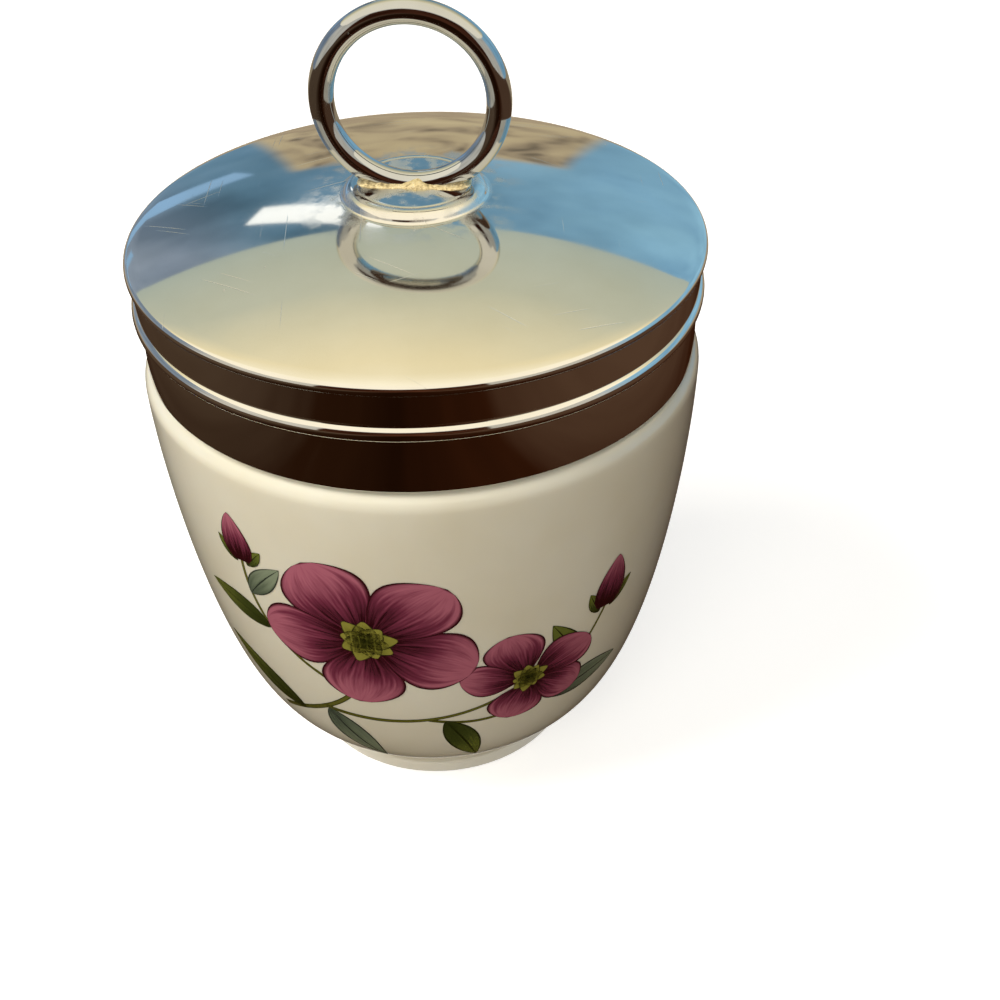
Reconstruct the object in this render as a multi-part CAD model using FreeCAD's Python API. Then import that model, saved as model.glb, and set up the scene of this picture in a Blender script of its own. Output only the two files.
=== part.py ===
import FreeCAD
import Part

import math
import os

# A porcelain egg coddler: a footed cup with a moulded thread on its neck, and a
# plated metal screw lid that carries a brazed lifting ring. Millimetres, +Z up.
# The origin is the centre of the foot, on the table. The ring lies in the XZ plane.

# Foot of the cup
FOOT_RADIUS = 17.8
FOOT_HEIGHT = 6.5
FOOT_FLARE = 0.5
FOOT_RIM_WIDTH = 2.6
FOOT_ROUND = 0.6
FOOT_RECESS = 2.8
FOOT_LEDGE = 1.0

# Side of the cup, one smooth curve from the shoulder down to the foot
SHOULDER_RADIUS = 32.0
SHOULDER_HEIGHT = 56.3
SHOULDER_ROUND = 0.9
SIDE_FULLNESS = 12.0
BOWL_FULLNESS = 9.0

# Inside of the cup
CUP_WALL = 4.2
CUP_FLOOR = 6.0
THROAT_LENGTH = 9.0
BELLY_DEPTH = 20.0
THROAT_EASE = 5.4
INNER_FULLNESS = 15.0
BOTTOM_FULLNESS = 20.0

# Neck with the moulded thread
NECK_WALL = 3.2
NECK_COVE = 0.6
LIP_ROUND = 1.3

# Single-start right-hand thread, the same ridge on the neck and inside the lid
THREAD_LEAD = 6.0
RIDGE_HEIGHT = 1.2
RIDGE_ROOT = 2.2
RIDGE_CREST = 1.0
RIDGE_EMBED = 0.25
RIDGE_RAMP_DEG = 16.0
CUTTER_REACH = 6
THREAD_RADIAL_GAP = 0.55
THREAD_FLANK_GAP = 0.4
THREAD_END_MARGIN = 0.5

# Threaded liner soldered into the lid
LINER_WALL = 0.7
LINER_FIT = 0.05
LINER_SETBACK = 0.5

# Lid shell
SHELL_WALL = 0.6
SKIRT_GAP = 0.4
LOWER_BAND = 6.25
BEAD_WIDTH = 1.8
BEAD_PROUD = 0.62
UPPER_BAND = 4.25
UPPER_STEP = 0.2
GROOVE_WIDTH = 0.3
GROOVE_DEPTH = 0.12
RIM_PROUD = 0.7
RIM_ROUND = 0.75
RIM_SLOPE_DEG = 20.0
EDGE_BAND = 1.1
DOME_RISE = 5.3
HEM_ROUND = 0.25
CORNER_LIFT = 0.2

# Seal washer under the top of the lid
SEAL_THICKNESS = 1.2
SEAL_GAP = 0.35
SEAL_SIDE_GAP = 0.3
SEAL_RELIEF = 0.2

# Raised disc on the lid
BOSS_BASE_RADIUS = 8.0
BOSS_TOP_RADIUS = 6.05
BOSS_RISE = 0.85
BOSS_BULGE = 0.35
SOLDER_FILM = 0.05

# Lifting ring and the brazed seam that holds it
RING_BORE_RADIUS = 8.0
RING_WIRE_RADIUS = 1.35
RING_GRIND = 1.6
SEAM_FILM = 0.1
SEAM_LENGTH = 12.4
SEAM_WIDTH = 4.0
SEAM_HEIGHT = 0.95
SEAM_TAPER = 0.55

# Sizes that follow from the ones above
RIM_RADIUS = SHOULDER_RADIUS
SKIRT_RADIUS = RIM_RADIUS - RIM_PROUD
SHELL_BORE = SKIRT_RADIUS - SHELL_WALL
LINER_RADIUS = SHELL_BORE - LINER_FIT
LINER_BORE = LINER_RADIUS - LINER_WALL
NECK_RADIUS = LINER_BORE - THREAD_RADIAL_GAP - RIDGE_HEIGHT
LID_BOTTOM = SHOULDER_HEIGHT + SKIRT_GAP
BEAD_BOTTOM = LID_BOTTOM + LOWER_BAND
BEAD_TOP = BEAD_BOTTOM + BEAD_WIDTH
RIM_HEIGHT = BEAD_TOP + UPPER_BAND
DOME_TOP = RIM_HEIGHT + DOME_RISE
LINER_BOTTOM = LID_BOTTOM + LINER_SETBACK
LINER_TOP = RIM_HEIGHT + CORNER_LIFT - LINER_FIT
SEAL_TOP = LINER_TOP - LINER_WALL - LINER_FIT
SEAL_BOTTOM = SEAL_TOP - SEAL_THICKNESS
NECK_TOP = SEAL_BOTTOM - SEAL_GAP
NECK_BORE = NECK_RADIUS - NECK_WALL
CUP_INSIDE_BOTTOM = FOOT_RECESS + CUP_FLOOR
RING_MEAN_RADIUS = RING_BORE_RADIUS + RING_WIRE_RADIUS


def point(radius, height):
    """A point of a half section, in the XZ plane."""
    return FreeCAD.Vector(radius, 0, height)


def line(start, end):
    """A straight edge."""
    return Part.LineSegment(start, end).toShape()


def arc(start, middle, end):
    """A circular edge through three points."""
    return Part.Arc(start, middle, end).toShape()


def curve(start, first_pull, second_pull, end):
    """A smooth cubic edge that leaves and arrives along its two pulls."""
    bezier = Part.BezierCurve()
    bezier.setPoles([start, first_pull, second_pull, end])
    return bezier.toShape()


def rounded_path(corners):
    """Straight edges through (radius, height, rounding) corners, with round corners."""
    edges = []
    previous = point(corners[0][0], corners[0][1])
    for index in range(1, len(corners) - 1):
        before = point(corners[index - 1][0], corners[index - 1][1])
        corner = point(corners[index][0], corners[index][1])
        after = point(corners[index + 1][0], corners[index + 1][1])
        rounding = corners[index][2]
        into = (before - corner).normalize()
        out = (after - corner).normalize()
        half_angle = into.getAngle(out) / 2.0
        reach = rounding / math.tan(half_angle)
        start = corner + into * reach
        end = corner + out * reach
        bisector = (into + out).normalize()
        centre = corner + bisector * (rounding / math.sin(half_angle))
        middle = centre - bisector * rounding
        edges.append(line(previous, start))
        edges.append(arc(start, middle, end))
        previous = end
    last = corners[-1]
    edges.append(line(previous, point(last[0], last[1])))
    return edges


def revolve(edges):
    """A solid of revolution about Z from the closed half section."""
    section = Part.Face(Part.Wire(edges))
    return section.revolve(FreeCAD.Vector(0, 0, 0), FreeCAD.Vector(0, 0, 1), 360)


def tube(inner_radius, outer_radius, bottom, top):
    """A plain ring with square corners."""
    outer = Part.makeCylinder(outer_radius, top - bottom, FreeCAD.Vector(0, 0, bottom))
    inner = Part.makeCylinder(inner_radius, top - bottom, FreeCAD.Vector(0, 0, bottom))
    return outer.cut(inner)


def plan_point(radius, angle_deg, height):
    """A point at a radius and a bearing about Z."""
    angle = math.radians(angle_deg)
    return FreeCAD.Vector(radius * math.cos(angle), radius * math.sin(angle), height)


def ramp_cutter(root_radius, crest_radius, end_angle, ramp_deg, height):
    """A block that cuts the end of a thread ridge to a ramp, from its root to its crest."""
    start = plan_point(root_radius, end_angle, height)
    finish = plan_point(crest_radius, end_angle + ramp_deg, height)
    tip = plan_point(crest_radius, end_angle, height)
    along = (finish - start).normalize()
    away = FreeCAD.Vector(0, 0, 1).cross(along)
    if away.dot(tip - start) < 0:
        away = away * -1
    length = CUTTER_REACH * finish.distanceToPoint(start)
    depth = CUTTER_REACH * RIDGE_HEIGHT
    tall = FreeCAD.Vector(0, 0, 2 * RIDGE_ROOT)
    origin = start - along * (length / 2) - tall * 0.5
    base = Part.makePolygon([
        origin,
        origin + along * length,
        origin + along * length + away * depth,
        origin + away * depth,
        origin,
    ])
    return Part.Face(base).extrude(tall)


def thread_ridge(root_radius, direction, start_height, turns, start_angle):
    """A helical ridge. Direction is 1 for one that points outwards, and -1 for inwards."""
    crest_radius = root_radius + direction * RIDGE_HEIGHT
    embed_radius = root_radius - direction * RIDGE_EMBED
    helix = Part.makeHelix(THREAD_LEAD, turns * THREAD_LEAD, root_radius)
    corners = [
        point(embed_radius, -RIDGE_ROOT / 2),
        point(root_radius, -RIDGE_ROOT / 2),
        point(crest_radius, -RIDGE_CREST / 2),
        point(crest_radius, RIDGE_CREST / 2),
        point(root_radius, RIDGE_ROOT / 2),
        point(embed_radius, RIDGE_ROOT / 2),
    ]
    section = Part.makePolygon(corners + corners[:1])
    ridge = Part.Wire(helix).makePipeShell([section], True, True)
    ridge.rotate(FreeCAD.Vector(0, 0, 0), FreeCAD.Vector(0, 0, 1), start_angle)
    ridge.translate(FreeCAD.Vector(0, 0, start_height))
    end_angle = start_angle + turns * 360
    end_height = start_height + turns * THREAD_LEAD
    first = ramp_cutter(root_radius, crest_radius, start_angle, RIDGE_RAMP_DEG, start_height)
    last = ramp_cutter(root_radius, crest_radius, end_angle, -RIDGE_RAMP_DEG, end_height)
    return ridge.cut(first).cut(last)


NECK_THREAD_START = SHOULDER_HEIGHT + NECK_COVE + THREAD_END_MARGIN + RIDGE_ROOT / 2
NECK_THREAD_END = NECK_TOP - RIDGE_ROOT / 2
NECK_THREAD_TURNS = (NECK_THREAD_END - NECK_THREAD_START) / THREAD_LEAD
LID_THREAD_START = LINER_BOTTOM + THREAD_END_MARGIN + RIDGE_ROOT / 2
LID_THREAD_END = SEAL_BOTTOM - THREAD_END_MARGIN - RIDGE_ROOT / 2
LID_THREAD_TURNS = (LID_THREAD_END - LID_THREAD_START) / THREAD_LEAD
THREAD_OFFSET = RIDGE_ROOT + THREAD_FLANK_GAP


def lid_thread_angle():
    """Bearing of the lid thread's start, so that its ridge lies just under the neck's."""
    climb = LID_THREAD_START - (NECK_THREAD_START - THREAD_OFFSET)
    return 360.0 * climb / THREAD_LEAD


def foot_section():
    """Half section of the foot ring, from the axis out to the underside of the bowl."""
    inner = FOOT_RADIUS - FOOT_RIM_WIDTH
    return rounded_path([
        (0, FOOT_RECESS, 0),
        (inner - FOOT_FLARE, FOOT_RECESS, FOOT_ROUND),
        (inner, 0, FOOT_ROUND),
        (FOOT_RADIUS, 0, FOOT_ROUND),
        (FOOT_RADIUS + FOOT_FLARE, FOOT_HEIGHT, FOOT_ROUND),
        (FOOT_RADIUS + FOOT_FLARE + FOOT_LEDGE, FOOT_HEIGHT, 0),
    ])


def side_section():
    """Half section of the outer side, from the foot up to the rounded shoulder."""
    low = point(FOOT_RADIUS + FOOT_FLARE + FOOT_LEDGE, FOOT_HEIGHT)
    high = point(SHOULDER_RADIUS, SHOULDER_HEIGHT - SHOULDER_ROUND)
    low_pull = low + FreeCAD.Vector(BOWL_FULLNESS, 0, 0)
    high_pull = high - FreeCAD.Vector(0, 0, SIDE_FULLNESS)
    return [curve(low, low_pull, high_pull, high)]


def neck_section():
    """Half section of the shoulder, the neck and the rounded lip."""
    high = point(SHOULDER_RADIUS, SHOULDER_HEIGHT - SHOULDER_ROUND)
    lean = math.sqrt(0.5) * SHOULDER_ROUND
    centre = high - FreeCAD.Vector(SHOULDER_ROUND, 0, 0)
    middle = centre + FreeCAD.Vector(lean, 0, lean)
    top = centre + FreeCAD.Vector(0, 0, SHOULDER_ROUND)
    shoulder = arc(high, middle, top)
    lip = rounded_path([
        (top.x, SHOULDER_HEIGHT, 0),
        (NECK_RADIUS, SHOULDER_HEIGHT, NECK_COVE),
        (NECK_RADIUS, NECK_TOP, LIP_ROUND),
        (NECK_BORE, NECK_TOP, LIP_ROUND),
        (NECK_BORE, NECK_TOP - THROAT_LENGTH, 0),
    ])
    return [shoulder] + lip


def inside_section():
    """Half section of the chamber, from the throat down to the axis."""
    belly_radius = SHOULDER_RADIUS - CUP_WALL
    throat = point(NECK_BORE, NECK_TOP - THROAT_LENGTH)
    belly = point(belly_radius, NECK_TOP - BELLY_DEPTH)
    bottom = point(0, CUP_INSIDE_BOTTOM)
    ease = FreeCAD.Vector(0, 0, THROAT_EASE)
    widening = curve(throat, throat - ease, belly + ease, belly)
    belly_pull = belly - FreeCAD.Vector(0, 0, INNER_FULLNESS)
    bottom_pull = bottom + FreeCAD.Vector(BOTTOM_FULLNESS, 0, 0)
    bowl = curve(belly, belly_pull, bottom_pull, bottom)
    return [widening, bowl]


def make_cup():
    """The porcelain cup: foot, egg-shaped side, shoulder, neck and moulded thread."""
    edges = foot_section() + side_section() + neck_section() + inside_section()
    edges.append(line(point(0, CUP_INSIDE_BOTTOM), point(0, FOOT_RECESS)))
    body = revolve(edges)
    ridge = thread_ridge(NECK_RADIUS, 1, NECK_THREAD_START, NECK_THREAD_TURNS, 0)
    return body.fuse(ridge)


def dome_radius():
    """Radius of the sphere of the lid's top."""
    edge_radius, edge_height = dome_edge()
    rise = DOME_TOP - edge_height
    return (edge_radius ** 2 + rise ** 2) / (2 * rise)


def rim_tangent():
    """The point where the sloping edge band meets the round of the rim."""
    slope = math.radians(RIM_SLOPE_DEG)
    centre = RIM_RADIUS - RIM_ROUND
    return (centre + RIM_ROUND * math.sin(slope), RIM_HEIGHT + RIM_ROUND * math.cos(slope))


def dome_edge():
    """The crease between the domed top and the narrow sloping band round it."""
    tangent_radius, tangent_height = rim_tangent()
    radius = RIM_RADIUS - EDGE_BAND
    run = tangent_radius - radius
    return (radius, tangent_height + run * math.tan(math.radians(RIM_SLOPE_DEG)))


def dome_height(radius, inset):
    """Height of the lid's top at a radius, on a sphere that lies inset under the surface."""
    sphere = dome_radius()
    centre = DOME_TOP - sphere
    return centre + math.sqrt((sphere - inset) ** 2 - radius ** 2)


def dome_arc(start_radius, end_radius, inset):
    """A stretch of the domed top, between two radii."""
    middle_radius = (start_radius + end_radius) / 2
    return arc(
        point(start_radius, dome_height(start_radius, inset)),
        point(middle_radius, dome_height(middle_radius, inset)),
        point(end_radius, dome_height(end_radius, inset)),
    )


def make_lid_shell():
    """The plated lid: domed top, rolled rim, bead and plain skirt, as one thin shell."""
    edge_radius, edge_height = dome_edge()
    tangent = point(*rim_tangent())
    upper_radius = SKIRT_RADIUS + UPPER_STEP
    rim_centre = RIM_RADIUS - RIM_ROUND
    tuck = math.sqrt(RIM_ROUND ** 2 - (upper_radius - rim_centre) ** 2)
    rim_end = point(upper_radius, RIM_HEIGHT - tuck)
    groove_top = point(upper_radius, BEAD_TOP + GROOVE_WIDTH)
    groove_floor = point(upper_radius - GROOVE_DEPTH, BEAD_TOP + GROOVE_WIDTH / 2)
    bead_top = point(SKIRT_RADIUS + UPPER_STEP / 2, BEAD_TOP)
    bead_middle = point(SKIRT_RADIUS + BEAD_PROUD, (BEAD_TOP + BEAD_BOTTOM) / 2)
    bead_bottom = point(SKIRT_RADIUS, BEAD_BOTTOM)
    inner_edge = edge_radius - SHELL_WALL
    inner_top = point(inner_edge, dome_height(inner_edge, SHELL_WALL))
    wall_top = point(SHELL_BORE, RIM_HEIGHT + CORNER_LIFT)
    edges = [
        dome_arc(0, edge_radius, 0),
        line(point(edge_radius, edge_height), tangent),
        arc(tangent, point(RIM_RADIUS, RIM_HEIGHT), rim_end),
        line(rim_end, groove_top),
        line(groove_top, groove_floor),
        line(groove_floor, bead_top),
        arc(bead_top, bead_middle, bead_bottom),
    ]
    edges += rounded_path([
        (SKIRT_RADIUS, BEAD_BOTTOM, 0),
        (SKIRT_RADIUS, LID_BOTTOM, HEM_ROUND),
        (SHELL_BORE, LID_BOTTOM, HEM_ROUND),
        (SHELL_BORE, wall_top.z, 0),
    ])
    edges.append(line(wall_top, inner_top))
    edges.append(dome_arc(inner_edge, 0, SHELL_WALL))
    edges.append(line(point(0, DOME_TOP - SHELL_WALL), point(0, DOME_TOP)))
    return revolve(edges)


def make_thread_liner():
    """The threaded collar inside the lid, with a flange over the seal."""
    collar = tube(LINER_BORE, LINER_RADIUS, LINER_BOTTOM, LINER_TOP)
    flange = tube(NECK_BORE, LINER_RADIUS, LINER_TOP - LINER_WALL, LINER_TOP)
    ridge = thread_ridge(LINER_BORE, -1, LID_THREAD_START, LID_THREAD_TURNS, lid_thread_angle())
    return collar.fuse(flange).fuse(ridge).removeSplitter()


def make_lid_seal():
    """The flat washer that the lip of the cup closes against."""
    return tube(NECK_BORE + SEAL_RELIEF, LINER_BORE - SEAL_SIDE_GAP, SEAL_BOTTOM, SEAL_TOP)


def boss_top():
    """Height of the raised disc's flat top."""
    return dome_height(0, 0) + BOSS_RISE


def make_handle_boss():
    """The raised disc on the dome, with a rounded side."""
    foot = point(BOSS_BASE_RADIUS, dome_height(BOSS_BASE_RADIUS, -SOLDER_FILM))
    crown = point(BOSS_TOP_RADIUS, boss_top())
    chord = crown - foot
    bulge = FreeCAD.Vector(-chord.z, 0, chord.x).normalize() * -BOSS_BULGE
    middle = foot + chord * 0.5 + bulge
    edges = [
        dome_arc(0, BOSS_BASE_RADIUS, -SOLDER_FILM),
        arc(foot, middle, crown),
        line(crown, point(0, boss_top())),
        line(point(0, boss_top()), point(0, dome_height(0, -SOLDER_FILM))),
    ]
    return revolve(edges)


def ring_centre():
    """Height of the ring's centre, with its ground flat resting on the film of braze."""
    return boss_top() + SEAM_FILM + RING_MEAN_RADIUS + RING_WIRE_RADIUS - RING_GRIND


def ring_body():
    """The whole wire ring, before its foot is ground flat."""
    centre = FreeCAD.Vector(0, 0, ring_centre())
    return Part.makeTorus(RING_MEAN_RADIUS, RING_WIRE_RADIUS, centre, FreeCAD.Vector(0, 1, 0))


def ground_block():
    """The block under the ring's ground flat."""
    span = 4 * RING_MEAN_RADIUS
    floor = boss_top() + SEAM_FILM
    corner = FreeCAD.Vector(-span / 2, -span / 2, floor - span)
    return Part.makeBox(span, span, span, corner)


def make_ring_handle():
    """The wire lifting ring, ground flat where it stands on the disc."""
    return ring_body().cut(ground_block())


def seam_outline(shrink, height):
    """A long oval, shrunk evenly, at a height."""
    centre = FreeCAD.Vector(0, 0, height)
    long_half = SEAM_LENGTH / 2 - shrink
    short_half = SEAM_WIDTH / 2 - shrink
    oval = Part.Ellipse(centre, long_half, short_half)
    return Part.Wire(oval.toShape())


def make_handle_braze():
    """The brazed seam: a low oval mound between the disc and the foot of the ring."""
    low = seam_outline(0, boss_top())
    high = seam_outline(SEAM_TAPER, boss_top() + SEAM_HEIGHT)
    mound = Part.makeLoft([low, high], True, True)
    return mound.cut(make_ring_handle())


PIECES = {
    "cup": make_cup,
    "lid_shell": make_lid_shell,
    "thread_liner": make_thread_liner,
    "lid_seal": make_lid_seal,
    "handle_boss": make_handle_boss,
    "ring_handle": make_ring_handle,
    "handle_braze": make_handle_braze,
}


def main():
    """Write each piece to its own file."""
    os.makedirs("parts", exist_ok=True)
    for name, make in PIECES.items():
        shape = make()
        solids = shape.Solids
        print(name, "solids", len(solids), "volume", round(shape.Volume, 1), "valid", shape.isValid())
        shape.exportStep("parts/" + name + ".step")


main()
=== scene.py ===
"""The dressed model of a porcelain egg coddler.

A footed porcelain cup with a transfer-printed spray of flowers under its glaze, closed by a
plated metal screw lid that carries a brazed lifting ring. Sizes are in millimetres in the
classes and become metres where a mesh is made. +Z is up, the origin is under the foot.
"""

import logging
import math
from dataclasses import dataclass, field
from enum import Enum
from typing import Any, Iterable, Sequence

import bmesh
import bpy
from mathutils import Matrix, Vector


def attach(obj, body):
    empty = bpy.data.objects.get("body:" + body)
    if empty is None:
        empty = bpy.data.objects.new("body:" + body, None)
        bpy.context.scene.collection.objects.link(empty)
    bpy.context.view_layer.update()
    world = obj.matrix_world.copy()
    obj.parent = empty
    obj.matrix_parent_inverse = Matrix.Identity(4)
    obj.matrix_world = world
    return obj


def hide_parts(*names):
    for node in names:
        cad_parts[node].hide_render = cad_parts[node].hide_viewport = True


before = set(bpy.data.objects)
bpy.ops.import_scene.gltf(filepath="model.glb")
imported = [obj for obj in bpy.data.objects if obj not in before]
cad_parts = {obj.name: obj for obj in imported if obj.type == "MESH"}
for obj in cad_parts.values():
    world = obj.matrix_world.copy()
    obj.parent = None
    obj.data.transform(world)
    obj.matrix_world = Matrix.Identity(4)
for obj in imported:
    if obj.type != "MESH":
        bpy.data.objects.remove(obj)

LOG = logging.getLogger("egg_coddler")
MM = 0.001

# Distance in metres under which two points are one
WELD = 1e-7

# Heights of the printed layers over the print's ground, in millimetres
LEAF_LAYER = 0.012
LEAF_STEP = 0.002
BUD_LAYER = 0.04
EYE_LAYER = 0.075

# The rays that lay the print on the cup, in metres: where they start, away from the axis, and their reach
RAY_START = 0.06
RAY_LENGTH = 0.1

# What the clear glaze gives the bare porcelain and the print alike
GLAZE_GLOSS = {"IOR": 1.5, "Coat Weight": 0.35, "Coat Roughness": 0.04}

Point = tuple[float, float]
Colour = tuple[float, float, float, float]


class Body(Enum):
    """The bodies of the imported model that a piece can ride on."""

    CUP = "cup"
    SEAL = "seal"
    LID = "lid"


class Slot(Enum):
    """The names of the material slots."""

    PORCELAIN = "glazed_porcelain"
    PLATED_LID = "plated_lid"
    PLATED_RING = "plated_ring"
    LINER = "liner_metal"
    SEAL = "seal_rubber"
    BRAZE = "braze_alloy"


def srgb(code: str) -> Colour:
    """Turn an sRGB hex colour into linear values.

    Args:
        code: Six hex digits, with or without a leading hash.

    Returns:
        Linear red, green and blue with an alpha of 1.
    """
    digits = code.lstrip("#")
    channels = [int(digits[start:start + 2], 16) / 255 for start in (0, 2, 4)]
    linear = [c / 12.92 if c <= 0.04045 else ((c + 0.055) / 1.055) ** 2.4 for c in channels]
    return (linear[0], linear[1], linear[2], 1.0)


def paint_ramp(ramp: bpy.types.ColorRamp, stops: dict[float, str]) -> None:
    """Put hex colours on a colour ramp.

    Args:
        ramp: The ramp, with its two first elements.
        stops: Place from 0 to 1 to hex colour, in rising order.
    """
    for position in list(stops)[2:]:
        ramp.elements.new(position)
    for element, (position, code) in zip(ramp.elements, sorted(stops.items())):
        element.position = position
        element.color = srgb(code)


def feed(tree: bpy.types.NodeTree, node: bpy.types.Node, inputs: dict[str | int, Any]) -> None:
    """Set or link a node's inputs.

    Args:
        tree: The tree that holds the node.
        node: The node.
        inputs: Input name or number to a value, or to an output socket to link from.
    """
    for key, value in inputs.items():
        socket = node.inputs[key]
        if isinstance(value, bpy.types.NodeSocket):
            tree.links.new(value, socket)
        else:
            socket.default_value = value


def add(
    tree: bpy.types.NodeTree,
    kind: str,
    inputs: dict[str | int, Any] | None = None,
    stops: dict[float, str] | None = None,
    **settings: Any,
) -> bpy.types.Node:
    """Add a node to a tree, with its settings and links.

    Args:
        tree: The tree to add to.
        kind: The node's type name.
        inputs: Input name or number to a value, or to an output socket to link from.
        stops: Place to hex colour, for a node that holds a colour ramp.
        **settings: Properties of the node itself.

    Returns:
        The new node.
    """
    node = tree.nodes.new(kind)
    for name, value in settings.items():
        setattr(node, name, value)
    if stops:
        paint_ramp(node.color_ramp, stops)
    feed(tree, node, inputs or {})
    return node


# Half sections, as lists of (radius, height) points in millimetres


def arc_points(centre: Point, radius: float, start: float, end: float, steps: int) -> list[Point]:
    """Points of a round stretch.

    Args:
        centre: The arc's centre.
        radius: Its radius.
        start: Its first angle in degrees, 0 outwards and 90 up.
        end: Its last angle in degrees.
        steps: The number of straight pieces.

    Returns:
        The points from start to end.
    """
    angles = [math.radians(start + (end - start) * step / steps) for step in range(steps + 1)]
    return [(centre[0] + radius * math.cos(a), centre[1] + radius * math.sin(a)) for a in angles]


def curve_points(poles: Sequence[Point], steps: int) -> list[Point]:
    """Points of a cubic curve, from its first pole to its last.

    Args:
        poles: Its four poles.
        steps: The number of straight pieces.

    Returns:
        The points, both ends among them.
    """
    weights = (1, 3, 3, 1)
    found = []
    for step in range(steps + 1):
        t = step / steps
        shares = [w * (1 - t) ** (3 - n) * t ** n for n, w in enumerate(weights)]
        found.append(tuple(sum(s * pole[axis] for s, pole in zip(shares, poles)) for axis in (0, 1)))
    return found


def bulge_points(start: Point, end: Point, bulge: float, steps: int) -> list[Point]:
    """Points of an arc between two ends.

    Args:
        start: Its first point.
        end: Its last point.
        bulge: How far it stands off its chord, to the left, or to the right where negative.
        steps: The number of straight pieces.

    Returns:
        The points from start to end.
    """
    chord = Vector(end) - Vector(start)
    half = chord.length / 2
    radius = (half ** 2 + bulge ** 2) / (2 * abs(bulge))
    side = Vector((-chord.y, chord.x)).normalized() * math.copysign(1, bulge)
    centre = Vector(start) + chord / 2 - side * (radius - abs(bulge))
    sweep = 2 * math.asin(min(1, half / radius)) * -math.copysign(1, bulge)
    spoke = Vector(start) - centre
    found = []
    for step in range(steps + 1):
        turned = spoke.copy()
        turned.rotate(Matrix.Rotation(sweep * step / steps, 2))
        found.append((centre.x + turned.x, centre.y + turned.y))
    return found


def rounded_points(corners: Sequence[tuple[float, float, float]], steps: int = 6) -> list[Point]:
    """Points of a section with rounded corners.

    Args:
        corners: Radius, height and rounding of each. The two ends stay sharp.
        steps: The number of straight pieces of each arc.

    Returns:
        The points from the first corner to the last.
    """
    found = [corners[0][:2]]
    for before, corner, after in zip(corners, corners[1:], corners[2:]):
        here = Vector(corner[:2])
        into = (Vector(before[:2]) - here).normalized()
        out = (Vector(after[:2]) - here).normalized()
        half_angle = into.angle(out) / 2
        bisector = (into + out).normalized()
        centre = here + bisector * (corner[2] / math.sin(half_angle))
        reach = corner[2] / math.tan(half_angle)
        first = here + into * reach - centre
        last = here + out * reach - centre
        sweep = first.angle_signed(last)
        for step in range(steps + 1):
            spoke = first.copy()
            spoke.rotate(Matrix.Rotation(-sweep * step / steps, 2))
            found.append((centre.x + spoke.x, centre.y + spoke.y))
    found.append(corners[-1][:2])
    return found


# Meshes


def new_object(name: str, mesh: bpy.types.Mesh) -> bpy.types.Object:
    """Link a new object that holds a mesh, at the origin.

    Args:
        name: Its name.
        mesh: Its mesh.

    Returns:
        The object.
    """
    piece = bpy.data.objects.new(name, mesh)
    bpy.context.scene.collection.objects.link(piece)
    return piece


def smooth(mesh: bpy.types.Mesh, crease_deg: float = 28.0) -> None:
    """Shade a mesh smooth, with the edges over an angle left sharp."""
    mesh.shade_smooth()
    mesh.set_sharp_from_angle(angle=math.radians(crease_deg))


def finish_mesh(name: str, made: bmesh.types.BMesh, crease_deg: float = 28.0) -> bpy.types.Object:
    """Turn a finished bmesh into an object, with its faces outwards.

    Args:
        name: The object's name.
        made: The bmesh. It is freed.
        crease_deg: The edges over this angle stay sharp.

    Returns:
        The new object.
    """
    bmesh.ops.recalc_face_normals(made, faces=made.faces)
    mesh = bpy.data.meshes.new(name)
    made.to_mesh(mesh)
    made.free()
    smooth(mesh, crease_deg)
    return new_object(name, mesh)


def revolve(name: str, section: Iterable[Point], around: int, closed: bool = True) -> bpy.types.Object:
    """Turn a half section about Z into a closed mesh.

    Args:
        name: The object's name.
        section: (radius, height) points. A point on the axis becomes a pole.
        around: The number of steps round the axis.
        closed: Whether the last point joins the first.

    Returns:
        The new object, with its faces outwards.
    """
    made = bmesh.new()
    rings = []
    for radius, height in section:
        if radius < 1e-6:
            rings.append([made.verts.new((0, 0, height * MM))])
            continue
        angles = [2 * math.pi * step / around for step in range(around)]
        rings.append([
            made.verts.new((radius * MM * math.cos(a), radius * MM * math.sin(a), height * MM))
            for a in angles
        ])
    pairs = list(zip(rings, rings[1:]))
    if closed and len(rings[0]) > 1 and len(rings[-1]) > 1:
        pairs.append((rings[-1], rings[0]))
    for low, high in pairs:
        for step in range(around):
            after = (step + 1) % around
            corners = [low[step % len(low)], low[after % len(low)]]
            corners += [high[after % len(high)], high[step % len(high)]]
            unique = list(dict.fromkeys(corners))
            if len(unique) > 2:
                made.faces.new(unique)
    bmesh.ops.remove_doubles(made, verts=made.verts, dist=WELD)
    return finish_mesh(name, made)


def join(name: str, pieces: Sequence[bpy.types.Object]) -> bpy.types.Object:
    """Join several objects' meshes into one object, with their UV maps and attributes.

    Args:
        name: The new object's name.
        pieces: The objects to join. They are removed.

    Returns:
        The new object, still without a material.
    """
    made = bmesh.new()
    for piece in pieces:
        made.from_mesh(piece.data)
    mesh = bpy.data.meshes.new(name)
    made.to_mesh(mesh)
    made.free()
    for piece in pieces:
        bpy.data.objects.remove(piece)
    return new_object(name, mesh)


# Geometry node trees


def node_tree(name: str, sockets: Sequence[tuple[str, str, Any]]) -> bpy.types.GeometryNodeTree:
    """A geometry node tree with named inputs.

    Args:
        name: The tree's name.
        sockets: Name, socket type and default of each input after Geometry.

    Returns:
        The tree, with its group input and output still to be added.
    """
    tree = bpy.data.node_groups.new(name, "GeometryNodeTree")
    tree.interface.new_socket("Geometry", in_out="INPUT", socket_type="NodeSocketGeometry")
    for label, kind, default in sockets:
        made = tree.interface.new_socket(label, in_out="INPUT", socket_type=kind)
        if default is not None:
            made.default_value = default
    tree.interface.new_socket("Geometry", in_out="OUTPUT", socket_type="NodeSocketGeometry")
    return tree


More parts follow.
